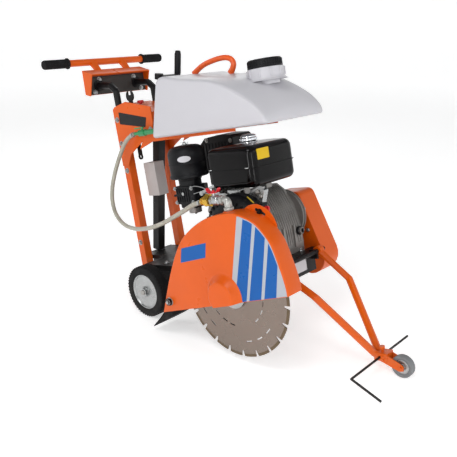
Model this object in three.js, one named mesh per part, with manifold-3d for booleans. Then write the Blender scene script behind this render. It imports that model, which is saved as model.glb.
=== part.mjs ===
// Walk-behind concrete saw: petrol engine, 450 mm diamond blade on the right, water tank on top,
// folding front guide and screw-adjusted front wheels. Millimetres, +X forward, +Y left, +Z up.
// Everything fixed to the chassis is drawn in the chassis frame, whose origin is the middle of the
// rear axle. In the parked pose the front wheels hold the chassis nose-up by TILT.
import * as THREE from "three";
import { mergeVertices } from "three/addons/utils/BufferGeometryUtils.js";
import Module from "manifold-3d";

const wasm = await Module();
wasm.setup();

// ---------------------------------------------------------------- driving dimensions
const TILT = THREE.MathUtils.degToRad(12); // nose-up angle of the parked chassis
const GAP = 0.3; // between pieces that touch
const RUN = 0.6; // around turning and sliding pieces
const SHEET = 3; // guards, cheeks and covers

const REAR_WHEEL_R = 100;
const REAR_WHEEL_WIDTH = 50;
const REAR_WHEEL_Y = 246; // middle of the wheel
const REAR_AXLE_R = 10;
const FRONT_WHEEL_R = 60;
const FRONT_WHEEL_WIDTH = 35;
const FRONT_WHEEL_Y = 94;
const FRONT_AXLE_R = 8;
const FRONT_WHEEL_REACH = 302; // rear axle to front axle

const DECK = { x0: -60, x1: 545, y0: -200, y1: 100, z: 88, t: 8, lip: 14 };
const FRONT_PLATE_Z0 = 16;
const TAIL = { x0: -215, half: 79, t: 16 }; // rear end of the deck, between the posts

const POST = { x: -168, y: 98, side: 34, bore: 29.2, z0: 30, z1: 700 };
const CHEEK_Y0 = POST.y + POST.side / 2 + GAP; // inner face of a console cheek
const CONSOLE_FALL = 0.23; // slope of the console top

const COLUMN = { x: -178, z: 174, lean: THREE.MathUtils.degToRad(15), side: 36, s0: -84, s1: 520 };
const SCREW_R = 8;
const SCREW = { s0: -205, s1: 632 }; // along the column line, from its reference point
const CRANK_RADIUS = 100;
const CRANK_GRIP_LENGTH = 85;
const NUT = { s: -128, side: 30, height: 24 };

const CRANK_X = 428; // engine crankshaft
const CRANK_Z = 220;
const CRANKSHAFT_R = 12.5;
const PULLEY_R = 55;
const PULLEY_Y0 = 152;
const PULLEY_WIDTH = 38;
const BELT_T = 8;

const BLADE_X = 489; // blade shaft
const BLADE_Z = 49;
const BLADE_R = 225;
const BLADE_T = 3.2;
const BLADE_Y = -282;
const BLADE_SHAFT_R = 15;
const FLANGE_R = 55;
const GULLETS = 22;
const GULLET_DEPTH = 21;
const GULLET_TURN = -0.7; // degrees, sets where the first gullet stands

const GUARD = { y0: -330, y1: -262 };
const GUARD_PIVOT = { x: 216, z: 4, r: 8 };
const DOME = { base: 70, top: 50, height: 25 };

const BELT_GUARD_Y0 = 145.3;
const BELT_GUARD_Y1 = 235;
const BELT_PLATE_T = 3;

const TANK = { half: 163, z: 566, wall: 5, crown: 36, neckX: 520, neckR: 62, neckTop: 744, boreR: 44 };
const TANK_CAP = { r: 60, z1: 776 };
const TAP = { y: -145, z: 592, r: 10, x0: -40 };

const FUEL = { x0: 305, x1: 525, y0: -145, y1: 95, z0: 362, z1: 510 };
const FUEL_CAP = { x: 400, y: 0, r: 31, h: 24 };
const FILTER = { x: 182, y: -105, r: 75, z0: 410, z1: 528 };

const GUIDE = { x: 562, z: 85, right: -135, left: 105, r: 12.5 };
const GUIDE_WHEEL = { x: 943, r: 37.5, width: 24 }; // x is level, along the ground
const POINTER = { x: 870, z: 50, r: 4 }; // level coordinates
const HANDLE = { lift: 782, back: -275, barX: -325, barZ: 905, barR: 14, barHalf: 302 };
const GRIP_R = 17.5;
const GRIP_LENGTH = 112;

// ---------------------------------------------------------------- solid modelling helpers
function solid(geometry) {
  const bare = geometry.index ? geometry.toNonIndexed() : geometry.clone();
  bare.deleteAttribute("normal");
  bare.deleteAttribute("uv");
  const merged = mergeVertices(bare, 1e-4);
  return new wasm.Manifold(
    new wasm.Mesh({
      numProp: 3,
      vertProperties: new Float32Array(merged.attributes.position.array),
      triVerts: new Uint32Array(merged.index.array),
    }),
  );
}

function geometryOf(manifold) {
  const mesh = manifold.getMesh();
  const geometry = new THREE.BufferGeometry();
  geometry.setAttribute("position", new THREE.BufferAttribute(mesh.vertProperties, 3));
  geometry.setIndex(new THREE.BufferAttribute(mesh.triVerts, 1));
  const flat = geometry.toNonIndexed();
  flat.computeVertexNormals();
  return flat;
}

function join(...pieces) {
  return pieces.reduce((sum, piece) => sum.add(piece));
}

function cut(base, ...tools) {
  return tools.reduce((rest, tool) => rest.subtract(tool), base);
}

function box(x0, x1, y0, y1, z0, z1) {
  const geometry = new THREE.BoxGeometry(x1 - x0, y1 - y0, z1 - z0);
  geometry.translate((x0 + x1) / 2, (y0 + y1) / 2, (z0 + z1) / 2);
  return solid(geometry);
}

// Straight round bar from one point to another; a flat facet faces down on level bars.
function bar(from, to, r, sides = 12, rEnd = r) {
  const a = new THREE.Vector3(...from);
  const b = new THREE.Vector3(...to);
  const geometry = new THREE.CylinderGeometry(rEnd, r, a.distanceTo(b), sides);
  geometry.rotateY(Math.PI / sides);
  const turn = new THREE.Quaternion().setFromUnitVectors(
    new THREE.Vector3(0, 1, 0),
    b.clone().sub(a).normalize(),
  );
  geometry.applyQuaternion(turn);
  geometry.translate(...a.add(b).multiplyScalar(0.5).toArray());
  return solid(geometry);
}

function barY(x, z, r, y0, y1, sides = 16) {
  return bar([x, y0, z], [x, y1, z], r, sides);
}

// Round disc of a wheel: one facet lies flat on the ground when the chassis is parked.
function wheelDisc(x, z, r, y0, y1, sides) {
  const disc = barY(0, 0, r / Math.cos(Math.PI / sides), y0, y1, sides);
  return disc.rotate([0, THREE.MathUtils.radToDeg(TILT), 0]).translate([x, 0, z]);
}

function barZ(x, y, r, z0, z1, sides = 16, rEnd = r) {
  return bar([x, y, z0], [x, y, z1], r, sides, rEnd);
}

function ball(center, r, sides) {
  const geometry = new THREE.SphereGeometry(r, sides, 4);
  geometry.translate(...center);
  return solid(geometry);
}

// Round tube through corner points, with ball corners.
function pipe(points, r, sides = 8) {
  const pieces = [];
  for (let i = 1; i < points.length; i += 1) {
    pieces.push(bar(points[i - 1], points[i], r, sides));
    if (i < points.length - 1) pieces.push(ball(points[i], r, sides));
  }
  return join(...pieces);
}

// Outline in the XZ plane, given as [x, z] points, extruded from y0 to y1.
function plate(points, y0, y1) {
  const shape = new THREE.Shape(points.map(([x, z]) => new THREE.Vector2(x, z)));
  const geometry = new THREE.ExtrudeGeometry(shape, { depth: y1 - y0, bevelEnabled: false });
  geometry.rotateX(Math.PI / 2);
  geometry.translate(0, y1, 0);
  return solid(geometry);
}

// Outline offset inwards by d; the points run counter-clockwise.
function inset(points, d) {
  const count = points.length;
  return points.map(([x, z], i) => {
    const before = points[(i + count - 1) % count];
    const after = points[(i + 1) % count];
    const a = new THREE.Vector2(x - before[0], z - before[1]).normalize();
    const b = new THREE.Vector2(after[0] - x, after[1] - z).normalize();
    const normal = new THREE.Vector2(-a.y - b.y, a.x + b.x).normalize();
    const stretch = d / Math.max(0.3, normal.dot(new THREE.Vector2(-a.y, a.x)));
    return [x + normal.x * stretch, z + normal.y * stretch];
  });
}

// Surface of revolution about an upright axis; the profile is [r, z] points.
function turned(profile, x, y, sides = 24) {
  const points = profile.map(([r, z]) => new THREE.Vector2(r, z));
  const geometry = new THREE.LatheGeometry(points, sides);
  geometry.rotateX(Math.PI / 2);
  geometry.translate(x, y, 0);
  return solid(geometry);
}

// The same about an axis along Y; the profile is [r, y] points, y growing.
function turnedY(profile, x, z, sides = 24) {
  const points = profile.map(([r, y]) => new THREE.Vector2(r, y));
  const geometry = new THREE.LatheGeometry(points, sides);
  geometry.rotateY(Math.PI / sides);
  geometry.translate(x, 0, z);
  return solid(geometry);
}

// Skin through closed loops of equal point count, with a fan over each end.
function loft(loops) {
  const count = loops[0].length;
  const positions = [];
  const push = (...points) => points.forEach((p) => positions.push(...p));
  for (let i = 1; i < loops.length; i += 1) {
    for (let j = 0; j < count; j += 1) {
      const k = (j + 1) % count;
      const [a, b, c, d] = [loops[i - 1][j], loops[i - 1][k], loops[i][k], loops[i][j]];
      push(a, b, c, a, c, d);
    }
  }
  const first = loops[0];
  const last = loops[loops.length - 1];
  const middleOf = (loop) => [0, 1, 2].map((i) => loop.reduce((sum, p) => sum + p[i], 0) / count);
  for (let j = 0; j < count; j += 1) {
    const k = (j + 1) % count;
    push(middleOf(first), first[k], first[j]);
    push(middleOf(last), last[j], last[k]);
  }
  const geometry = new THREE.BufferGeometry();
  geometry.setAttribute("position", new THREE.Float32BufferAttribute(positions, 3));
  return solid(geometry);
}

// Box with rounded upright corners and softened top and bottom edges.
function softBox(x0, x1, y0, y1, z0, z1, corner, edge) {
  const shape = new THREE.Shape();
  const [a, b, c, d] = [x0 + edge, x1 - edge, y0 + edge, y1 - edge];
  shape.moveTo(a + corner, c);
  shape.lineTo(b - corner, c);
  shape.absarc(b - corner, c + corner, corner, -Math.PI / 2, 0);
  shape.lineTo(b, d - corner);
  shape.absarc(b - corner, d - corner, corner, 0, Math.PI / 2);
  shape.lineTo(a + corner, d);
  shape.absarc(a + corner, d - corner, corner, Math.PI / 2, Math.PI);
  shape.lineTo(a, c + corner);
  shape.absarc(a + corner, c + corner, corner, Math.PI, 1.5 * Math.PI);
  const geometry = new THREE.ExtrudeGeometry(shape, {
    depth: z1 - z0 - 2 * edge,
    bevelThickness: edge,
    bevelSize: edge,
    bevelSegments: 1,
    curveSegments: 2,
  });
  geometry.translate(0, 0, z0 + edge);
  return solid(geometry);
}

function arc(cx, cz, r, from, to, steps) {
  return Array.from({ length: steps + 1 }, (_, i) => {
    const angle = THREE.MathUtils.degToRad(from + ((to - from) * i) / steps);
    return [cx + r * Math.cos(angle), cz + r * Math.sin(angle)];
  });
}

// ---------------------------------------------------------------- places worked out from the sizes
// Point on the lift column's centre line, s millimetres up from its reference point.
function onColumn(s, across = 0) {
  const { x, z, lean } = COLUMN;
  const [dx, dz] = [Math.sin(lean), Math.cos(lean)];
  return [x + s * dx + across * dz, 0, z + s * dz - across * dx];
}

// A piece drawn upright about the origin, set on the column line at s.
function setOnColumn(piece, s) {
  const degrees = THREE.MathUtils.radToDeg(COLUMN.lean);
  return piece.rotate([0, degrees, 0]).translate(onColumn(s));
}

// Level (ground) coordinates to the chassis frame.
function fromLevel([x, y, z]) {
  const [c, s] = [Math.cos(TILT), Math.sin(TILT)];
  const up = z - REAR_WHEEL_R;
  return [x * c + up * s, y, -x * s + up * c];
}

const FRONT_WHEEL_SINE = (REAR_WHEEL_R - FRONT_WHEEL_R) / FRONT_WHEEL_REACH;
const FRONT_AXLE = fromLevel([
  FRONT_WHEEL_REACH * Math.sqrt(1 - FRONT_WHEEL_SINE ** 2),
  0,
  FRONT_WHEEL_R,
]);

const consoleTopZ = (x) => 697 - CONSOLE_FALL * (x + 101);

// ---------------------------------------------------------------- frame
function chassisFrame() {
  const { x0, x1, y0, y1, z, t, lip } = DECK;
  const deck = join(
    box(x0, x1, y0, y1, z - t, z),
    box(x0, x1, y0, y0 + 6, z - t - lip, z),
    box(x0, x1, y1 - 6, y1, z - t - lip, z),
    box(x1 - 6, x1, y0, y1, FRONT_PLATE_Z0, z),
    box(TAIL.x0, x0 + 20, -TAIL.half, TAIL.half, z - TAIL.t, z),
  );
  const axleSeats = join(
    box(-22, 22, y0, -72, -20, z),
    box(-22, 22, 72, y1, -20, z),
  );
  const guidePivot = join(
    barY(GUIDE.x, GUIDE.z, 8, GUIDE.right - 30, GUIDE.left + 30),
    box(x1 - 6, GUIDE.x + 8, GUIDE.right + 16, GUIDE.right + 26, 60, GUIDE.z + 8),
    box(x1 - 6, GUIDE.x + 8, GUIDE.left - 26, GUIDE.left - 16, 60, GUIDE.z + 8),
  );
  const guardStud = join(
    box(190, 242, y0 - 8, y0 + 6, -12, z),
    barY(GUARD_PIVOT.x, GUARD_PIVOT.z, GUARD_PIVOT.r, GUARD.y0 - 14, y0),
    barY(GUARD_PIVOT.x, GUARD_PIVOT.z, 14, GUARD.y0 - 11, GUARD.y0 - RUN, 6),
  );
  const beltGuardLugs = join(
    box(412, 440, y1 - 2, BELT_GUARD_Y0 - BELT_PLATE_T - 2 * GAP, z - t, z),
    box(505, 530, y1 - 2, BELT_GUARD_Y0 - BELT_PLATE_T - 2 * GAP, z - t, z),
  );
  return cut(
    join(deck, axleSeats, guidePivot, guardStud, beltGuardLugs),
    barY(0, 0, REAR_AXLE_R + GAP, y0 - 1, y1 + 1),
    barY(BLADE_X, BLADE_Z, BLADE_SHAFT_R + 8, y0 - 1, y0 + 8),
    barY(BLADE_X, BLADE_Z, BLADE_SHAFT_R + 8, y1 - 8, y1 + 1),
    setOnColumn(barZ(0, 0, SCREW_R + 2, SCREW.s0, COLUMN.s0 + 4), 0),
  );
}

function rearAxle() {
  return barY(0, 0, REAR_AXLE_R, -REAR_WHEEL_Y - 36, REAR_WHEEL_Y + 36);
}

function sideFrame(side) {
  const y = side * POST.y;
  const half = POST.side / 2;
  const post = cut(
    box(POST.x - half, POST.x + half, y - half, y + half, POST.z0, POST.z1),
    barZ(POST.x, y, POST.bore / 2, POST.z0 - 1, POST.z1 + 1, 20),
  );
  const rear = POST.x - half - 1;
  const cheekOutline = [
    [rear, 470], [POST.x + half, 470], [-122, 514], [-13, 573], [34, 600], [42, 625],
    [42, consoleTopZ(42) + 20], [-101, consoleTopZ(-101) + 22], [rear + 12, 706], [rear, 697],
  ];
  const armTop = TANK.z - GAP;
  const armOutline = [
    [-60, 530], [-25, 540], [20, armTop - 12], [450, armTop - 12], [450, armTop], [52, armTop],
    [30, 600], [-20, 580],
  ];
  const [y0, y1] = side > 0 ? [CHEEK_Y0 - 1, CHEEK_Y0 + SHEET] : [-CHEEK_Y0 - SHEET, -CHEEK_Y0 + 1];
  const [f0, f1] = side > 0 ? [CHEEK_Y0 - 26, CHEEK_Y0] : [-CHEEK_Y0, -CHEEK_Y0 + 26];
  return join(
    post,
    plate(cheekOutline, y0, y1),
    plate(armOutline, y0, y1),
    box(60, 450, f0, f1, armTop - SHEET, armTop),
  );
}

function consoleTop() {
  const [x0, x1] = [POST.x - 15, 40];
  const outline = [
    [x0, consoleTopZ(x0) - SHEET], [x1, consoleTopZ(x1) - SHEET],
    [x1, consoleTopZ(x1)], [x0, consoleTopZ(x0)],
  ];
  const half = POST.y - POST.side / 2 - GAP;
  const wide = CHEEK_Y0 - 1 - GAP;
  const front = POST.x + POST.side / 2 + GAP;
  const lip = plate([[x1 - SHEET, 620], [x1, 620], [x1, consoleTopZ(x1)], [x1 - SHEET, consoleTopZ(x1)]],
    -wide, wide);
  const sheet = join(
    plate(outline, -half, half),
    plate(outline, -wide, wide).intersect(box(front, x1, -wide, wide, 600, 750)),
    lip,
  );
  return cut(
    sheet,
    setOnColumn(barZ(0, 0, SCREW_R + 8, COLUMN.s1, SCREW.s1), 0),
    box(-108, -76, -101, -89, 600, 750),
  );
}

function spindleColumn() {
  const { s0, s1, side } = COLUMN;
  const h = side / 2;
  return setOnColumn(cut(box(-h, h, -h, h, s0, s1), barZ(0, 0, SCREW_R + 3, s0 - 1, s1 + 1, 20)), 0);
}

function toolBox() {
  const y1 = -COLUMN.side / 2 - GAP;
  return cut(
    box(-118, -52, y1 - 50, y1, 336, 470),
    box(-115, -55, y1 - 47, y1 - 3, 339, 480),
  );
}

// ---------------------------------------------------------------- wheels and depth setting
function rearWheel(side) {
  const y = side * REAR_WHEEL_Y;
  const half = REAR_WHEEL_WIDTH / 2;
  const out = side > 0 ? 1 : -1;
  const wheel = join(
    wheelDisc(0, 0, REAR_WHEEL_R, y - half + 6, y + half - 6, 28),
    wheelDisc(0, 0, REAR_WHEEL_R - 6, y - half, y + half, 28),
  );
  const dishA = barY(0, 0, 62, y + out * 4, y + out * (half + 1), 16);
  const dishB = barY(0, 0, 62, y - out * (half + 1), y - out * 4, 16);
  const hub = barY(0, 0, 20, y - half - 3, y + half + 3, 20);
  return cut(join(cut(wheel, dishA, dishB), hub), barY(0, 0, REAR_AXLE_R + RUN, y - 60, y + 60));
}

function wheelCarriage() {
  const [fx, , fz] = FRONT_AXLE;
  const reach = Math.hypot(fx, fz);
  const angle = Math.atan2(fz, fx);
  const armY = FRONT_WHEEL_Y - FRONT_WHEEL_WIDTH / 2 - 12;
  const along = (d, off) => [
    d * Math.cos(angle) - off * Math.sin(angle),
    d * Math.sin(angle) + off * Math.cos(angle),
  ];
  const armOutline = [along(0, -14), along(reach, -14), along(reach, 14), along(0, 14)];
  const arms = [-1, 1].map((side) => plate(
    armOutline,
    Math.min(side * armY, side * (armY - 8)),
    Math.max(side * armY, side * (armY - 8)),
  ));
  const [nx, , nz] = onColumn(NUT.s);
  const forkY = NUT.side / 2 + RUN;
  const lever = [
    [-10, 14], [12, 20], [nx + 20, nz + 12], [nx - 12, nz + 8],
    [nx - 12, nz - 10], [nx + 10, nz - 12], [0, -16],
  ];
  const fork = [[-forkY - 6, -forkY], [forkY, forkY + 6]].map(([y0, y1]) => plate(lever, y0, y1));
  const axle = barY(fx, fz, FRONT_AXLE_R, -FRONT_WHEEL_Y - 28, FRONT_WHEEL_Y + 28, 20);
  const hub = barY(0, 0, 20, -armY, armY);
  return cut(join(...arms, ...fork, axle, hub), barY(0, 0, REAR_AXLE_R + RUN, -armY - 1, armY + 1));
}

function frontWheel(side) {
  const [x, , z] = FRONT_AXLE;
  const y = side * FRONT_WHEEL_Y;
  const half = FRONT_WHEEL_WIDTH / 2;
  const wheel = join(
    wheelDisc(x, z, FRONT_WHEEL_R, y - half + 4, y + half - 4, 24),
    wheelDisc(x, z, FRONT_WHEEL_R - 4, y - half, y + half, 24),
  );
  return cut(wheel, barY(x, z, FRONT_AXLE_R + RUN, y - half - 1, y + half + 1, 20));
}

function liftScrew() {
  return setOnColumn(join(
    barZ(0, 0, SCREW_R, SCREW.s0, SCREW.s1, 16),
    barZ(0, 0, 14, COLUMN.s1 + RUN, COLUMN.s1 + 14, 20),
  ), 0);
}

function liftNut() {
  const h = NUT.side / 2;
  return setOnColumn(cut(
    box(-h, h, -h, h, -NUT.height / 2, NUT.height / 2),
    barZ(0, 0, SCREW_R + RUN, -NUT.height, NUT.height, 16),
  ), NUT.s);
}

function crankArm() {
  const s = SCREW.s1 + GAP;
  return setOnColumn(join(
    barZ(0, 0, 17, s, s + 22, 20),
    box(-12, 12, 0, CRANK_RADIUS, s + 6, s + 14),
    barZ(0, CRANK_RADIUS, 12, s + 6, s + 14, 20),
    barZ(0, CRANK_RADIUS, 6, s + 14, s + 18 + CRANK_GRIP_LENGTH, 14),
  ), 0);
}

function crankGrip() {
  const s = SCREW.s1 + GAP + 14 + RUN;
  const outer = join(
    barZ(0, CRANK_RADIUS, 13, s, s + CRANK_GRIP_LENGTH - 8, 20),
    barZ(0, CRANK_RADIUS, 13, s + CRANK_GRIP_LENGTH - 8, s + CRANK_GRIP_LENGTH + 5, 20, 10),
  );
  return setOnColumn(
    cut(outer, barZ(0, CRANK_RADIUS, 6 + RUN, s - 1, s + CRANK_GRIP_LENGTH + 6, 14)),
    0,
  );
}

// ---------------------------------------------------------------- engine
const CASE = { y0: -115, y1: 104, z0: DECK.z + GAP };
const CRANK_SPACE_R = 70;

function crankcase() {
  const outline = [
    [322, CASE.z0], [500, CASE.z0], [502, 118], [498, 190], [480, 256], [450, 312], [415, 338],
    [372, 338], [330, 300], [316, 250], [316, 130],
  ];
  const body = join(
    plate(outline, CASE.y0, CASE.y1),
    barY(CRANK_X, CRANK_Z, 88, CASE.y1 - 1, CASE.y1 + 16, 28),
    barY(CRANK_X, CRANK_Z, 30, CASE.y1, CASE.y1 + 24, 24),
    box(496, 507, -70, -60, 110, 190),
    box(496, 507, -10, 0, 110, 190),
    box(496, 507, 50, 60, 110, 190),
    box(392, 426, -90, -60, 326, FUEL.z0 - GAP),
    box(392, 426, 30, 60, 326, FUEL.z0 - GAP),
    bar([494, 78, 165], [522, 78, 165], 13, 6),
  );
  return cut(
    body,
    barY(CRANK_X, CRANK_Z, CRANKSHAFT_R + RUN, CASE.y0 - 1, CASE.y1 + 30),
    barY(CRANK_X - 14, CRANK_Z - 8, CRANK_SPACE_R, CASE.y0 + 14, CASE.y1 - 14),
  );
}

const CYLINDER_LEAN = THREE.MathUtils.degToRad(25);

function cylinder() {
  const start = 112;
  const pieces = [box(start, start + 78, -46, 46, -44, 44), box(start + 78, start + 118, -58, 58, -56, 56)];
  for (let i = 0; i < 5; i += 1) {
    const x = start + 10 + i * 14;
    pieces.push(box(x, x + 4, -58, 58, -56, 56));
  }
  pieces.push(box(start + 118, start + 132, -40, 40, -42, 42));
  pieces.push(bar([start + 131, 30, 12], [start + 160, 30, 12], 11, 12));
  const degrees = THREE.MathUtils.radToDeg(CYLINDER_LEAN) + 180;
  const set = join(...pieces).rotate([0, degrees, 0]).translate([CRANK_X, 0, CRANK_Z]);
  const crankcaseFace = [
    [316 - GAP, 90], [520, 90], [520, 360], [372 - GAP, 360], [330 - GAP, 301], [316 - GAP, 250],
  ];
  return cut(set, plate(crankcaseFace, -120, 120));
}

function recoilStarter() {
  const profile = [
    [0, -208], [70, -208], [96, -200], [122, -178], [126, -165], [126, CASE.y0 - GAP],
    [100, CASE.y0 - GAP], [100, -152], [0, -152],
  ];
  const cup = turnedY(profile, CRANK_X, CRANK_Z, 28);
  const switchBoss = box(520, 545, -146, -120, 270, 312);
  return cut(join(cup, switchBoss), box(300, 560, -220, -110, 0, DECK.z + GAP));
}

function crankshaft() {
  return join(
    barY(CRANK_X, CRANK_Z, CRANKSHAFT_R, -148, PULLEY_Y0 - GAP),
    barY(CRANK_X, CRANK_Z, CRANKSHAFT_R - 2, PULLEY_Y0 - 1, PULLEY_Y0 + PULLEY_WIDTH + 4),
    barY(CRANK_X, CRANK_Z, 90, -146, -124, 28),
  );
}

function recoilHandle() {
  return join(
    bar([565, -172, 234], [565, -172, 276], 9, 12),
    bar([565, -172, 254], [552, -172, 250], 7, 12),
  );
}

function fuelTank() {
  const { x0, x1, y0, y1, z0, z1 } = FUEL;
  const seam = z0 + 67;
  return join(
    softBox(x0 + 8, x1 - 8, y0 + 8, y1 - 8, z0, seam, 22, 14),
    softBox(x0, x1, y0, y1, seam - 20, z1 - 4, 24, 20),
    softBox(x0 - 5, x1 + 5, y0 - 5, y1 + 5, seam - 3, seam + 3, 28, 1),
    barZ(FUEL_CAP.x, FUEL_CAP.y, 24, z1 - 10, z1),
  );
}

function fuelCap() {
  const z = FUEL.z1 + GAP;
  return join(
    barZ(FUEL_CAP.x, FUEL_CAP.y, FUEL_CAP.r, z, z + FUEL_CAP.h - 5, 28),
    barZ(FUEL_CAP.x, FUEL_CAP.y, FUEL_CAP.r, z + FUEL_CAP.h - 5, z + FUEL_CAP.h, 28, FUEL_CAP.r - 6),
  );
}

function airFilter() {
  const { x, y, r, z0, z1 } = FILTER;
  return turned([
    [0, z0 - 10], [46, z0 - 10], [46, z0], [r + 3, z0], [r + 3, z0 + 12], [r, z0 + 16], [r, z1 - 28],
    [r - 14, z1 - 4], [12, z1], [12, z1 + 8], [6, z1 + 12], [0, z1 + 12],
  ], x, y, 20);
}

function carburettor() {
  const { x, y, z0 } = FILTER;
  return join(
    box(x - 38, x + 40, y - 34, y + 30, 322, z0 - 10 - GAP),
    barZ(x + 4, y - 4, 24, 300, 323, 20),
    box(x - 14, x + 40, y + 20, -58 - GAP, 338, 376),
    bar([x - 10, y - 33, 352], [x - 10, y - 36, 352], 5, 12),
  );
}

function muffler() {
  const outline = [
    [100, 400], [286, 400], [294, 410], [294, 526], [284, 536],
    [220, 541], [150, 534], [108, 500], [100, 470],
  ];
  const shell = plate(outline, 32, 142);
  const inside = plate(inset(outline, SHEET), 32 + SHEET, 142 - SHEET);
  const pipeIn = pipe([[245, 82, 402], [245, 82, 345], [245, 58 + GAP, 345]], 13);
  return cut(join(shell, pipeIn), inside, bar([90, 90, 440], [110, 90, 440], 10, 14));
}

function throttleLever() {
  const y = -140;
  return join(
    barY(FILTER.x + 84, 352, 9, y - 4, y + 4, 16),
    plate([[262, 346], [330, 372], [328, 380], [262, 358]], y - 2, y + 2),
    bar([330, y - 4, 376], [330, y + 4, 376], 6, 12),
  );
}

function chokeLever() {
  const y = FILTER.y - 36 - RUN - 4;
  const x = FILTER.x - 10;
  return join(
    barY(x, 352, 8, y, y + 4, 16),
    plate([[x, 346], [x - 4, 358], [x - 50, 350], [x - 50, 342]], y, y + 4),
  );
}

function engineSwitch() {
  return join(
    bar([545 + GAP, -133, 291], [556, -133, 291], 10, 20),
    box(555, 561, -136, -130, 282, 300),
  );
}

// ---------------------------------------------------------------- blade drive
function bladeShaft() {
  const x = BLADE_X;
  const z = BLADE_Z;
  const bladeFace = BLADE_Y + BLADE_T / 2 + GAP;
  return join(
    barY(x, z, BLADE_SHAFT_R, -322, PULLEY_Y0 - GAP),
    barY(x, z, BLADE_SHAFT_R - 3, PULLEY_Y0 - 1, PULLEY_Y0 + PULLEY_WIDTH + 4),
    barY(x, z, FLANGE_R, bladeFace, bladeFace + 12, 28),
    barY(x, z, 24, bladeFace + 11, bladeFace + 30, 24),
  );
}

function bearing(y) {
  const housing = join(
    barY(BLADE_X, BLADE_Z, 30, y - 15, y + 15, 28),
    box(BLADE_X - 30, BLADE_X + 30, y - 12, y + 12, BLADE_Z, DECK.z - DECK.t - GAP),
  );
  return cut(housing, barY(BLADE_X, BLADE_Z, BLADE_SHAFT_R + RUN, y - 20, y + 20));
}

function pulley(x, z, boreR) {
  const y1 = PULLEY_Y0 + PULLEY_WIDTH;
  const groove = PULLEY_R - BELT_T - 1;
  const body = join(
    barY(x, z, groove, PULLEY_Y0, y1, 24),
    barY(x, z, PULLEY_R + 1, PULLEY_Y0, PULLEY_Y0 + 4, 24),
    barY(x, z, PULLEY_R + 1, y1 - 4, y1, 24),
  );
  return cut(body, barY(x, z, boreR + GAP, PULLEY_Y0 - 1, y1 + 1));
}

// Stadium round both pulleys at radius r.
function beltLoop(r) {
  const lean = THREE.MathUtils.radToDeg(Math.atan2(BLADE_Z - CRANK_Z, BLADE_X - CRANK_X));
  return [
    ...arc(CRANK_X, CRANK_Z, r, lean + 90, lean + 270, 14),
    ...arc(BLADE_X, BLADE_Z, r, lean - 90, lean + 90, 14),
  ];
}

function driveBelt() {
  const y0 = PULLEY_Y0 + 4 + RUN;
  const y1 = PULLEY_Y0 + PULLEY_WIDTH - 4 - RUN;
  const inner = PULLEY_R - BELT_T;
  return cut(plate(beltLoop(PULLEY_R), y0, y1), plate(beltLoop(inner), y0 - 1, y1 + 1));
}

// Outline of the belt guard: square-shouldered above the crankshaft, round under the blade shaft.
function beltGuardOutline() {
  return [
    ...arc(BLADE_X, BLADE_Z, 67, -161, 19, 10),
    ...arc(455, 267, 28, 20, 95, 4),
    ...arc(372, 266, 28, 95, 199, 5),
  ];
}

// Narrow arc slots through the core: three at the same spacing, near the rim or half way in.
function bladeSlots(radius, middles, reach) {
  const slots = [];
  for (const quarter of [0, 90, 180, 270]) {
    for (const middle of middles) {
      const from = quarter + middle - reach;
      const to = quarter + middle + reach;
      const outline = [...arc(0, 0, radius - 2, from, to, 2), ...arc(0, 0, radius + 2, to, from, 2)];
      slots.push(plate(outline, -BLADE_T, BLADE_T).translate([BLADE_X, BLADE_Y, BLADE_Z]));
    }
  }
  return slots;
}

function blade() {
  const outline = [];
  for (let i = 0; i < GULLETS; i += 1) {
    const middle = (360 * i) / GULLETS + GULLET_TURN;
    const half = 180 / GULLETS;
    const open = 1.6;
    outline.push(...arc(0, 0, BLADE_R, middle - half + open, middle + half - open, 3));
    outline.push(...arc(0, 0, BLADE_R - GULLET_DEPTH, middle + half - 0.8, middle + half + 0.8, 1));
  }
  const disc = plate(outline, -BLADE_T / 2, BLADE_T / 2);
  return cut(
    disc.translate([BLADE_X, BLADE_Y, BLADE_Z]),
    barY(BLADE_X, BLADE_Z, BLADE_SHAFT_R + GAP, BLADE_Y - 5, BLADE_Y + 5),
    ...bladeSlots(172, [11, 28, 45], 4.5),
    ...bladeSlots(121, [41.5, 59.5, 75.5], 5),
  );
}

function outerFlange() {
  const face = BLADE_Y - BLADE_T / 2 - GAP;
  return cut(
    join(
      barY(BLADE_X, BLADE_Z, FLANGE_R, face - 11, face, 28),
      barY(BLADE_X, BLADE_Z, 25, face - 34, face - 10, 6),
    ),
    barY(BLADE_X, BLADE_Z, BLADE_SHAFT_R + GAP, face - 40, face + 1),
  );
}

function beltGuardBack() {
  const [y0, y1] = [BELT_GUARD_Y0 - BELT_PLATE_T - GAP, BELT_GUARD_Y0 - GAP];
  return cut(
    plate(beltGuardOutline(), y0, y1),
    barY(CRANK_X, CRANK_Z, 34, y0 - 1, y1 + 1, 24),
    barY(BLADE_X, BLADE_Z, 24, y0 - 1, y1 + 1, 24),
  );
}

function beltGuardCover() {
  const outer = beltGuardOutline();
  return cut(
    plate(outer, BELT_GUARD_Y0, BELT_GUARD_Y1),
    plate(inset(outer, SHEET), BELT_GUARD_Y0 - 1, BELT_GUARD_Y1 - SHEET),
  );
}

// ---------------------------------------------------------------- blade guard and water valve
// Rim of the guard from its rear foot over the top to its front foot, then back along the bottom edge.
const GUARD_REAR = [167, -42];
const GUARD_FRONT = [753, 71];
const GUARD_RIM = [
  [751, 100], [740, 152], [718, 224], [691, 265], [661, 293], [630, 308], [583, 320], [529, 318],
  [460, 304], [386, 271], [318, 220], [256, 133], [205, 38],
];
const GUARD_OUTLINE = [GUARD_REAR, GUARD_FRONT, ...GUARD_RIM];

function guardBottomZ(x) {
  const slope = (GUARD_FRONT[1] - GUARD_REAR[1]) / (GUARD_FRONT[0] - GUARD_REAR[0]);
  return GUARD_REAR[1] + slope * (x - GUARD_REAR[0]);
}

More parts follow.
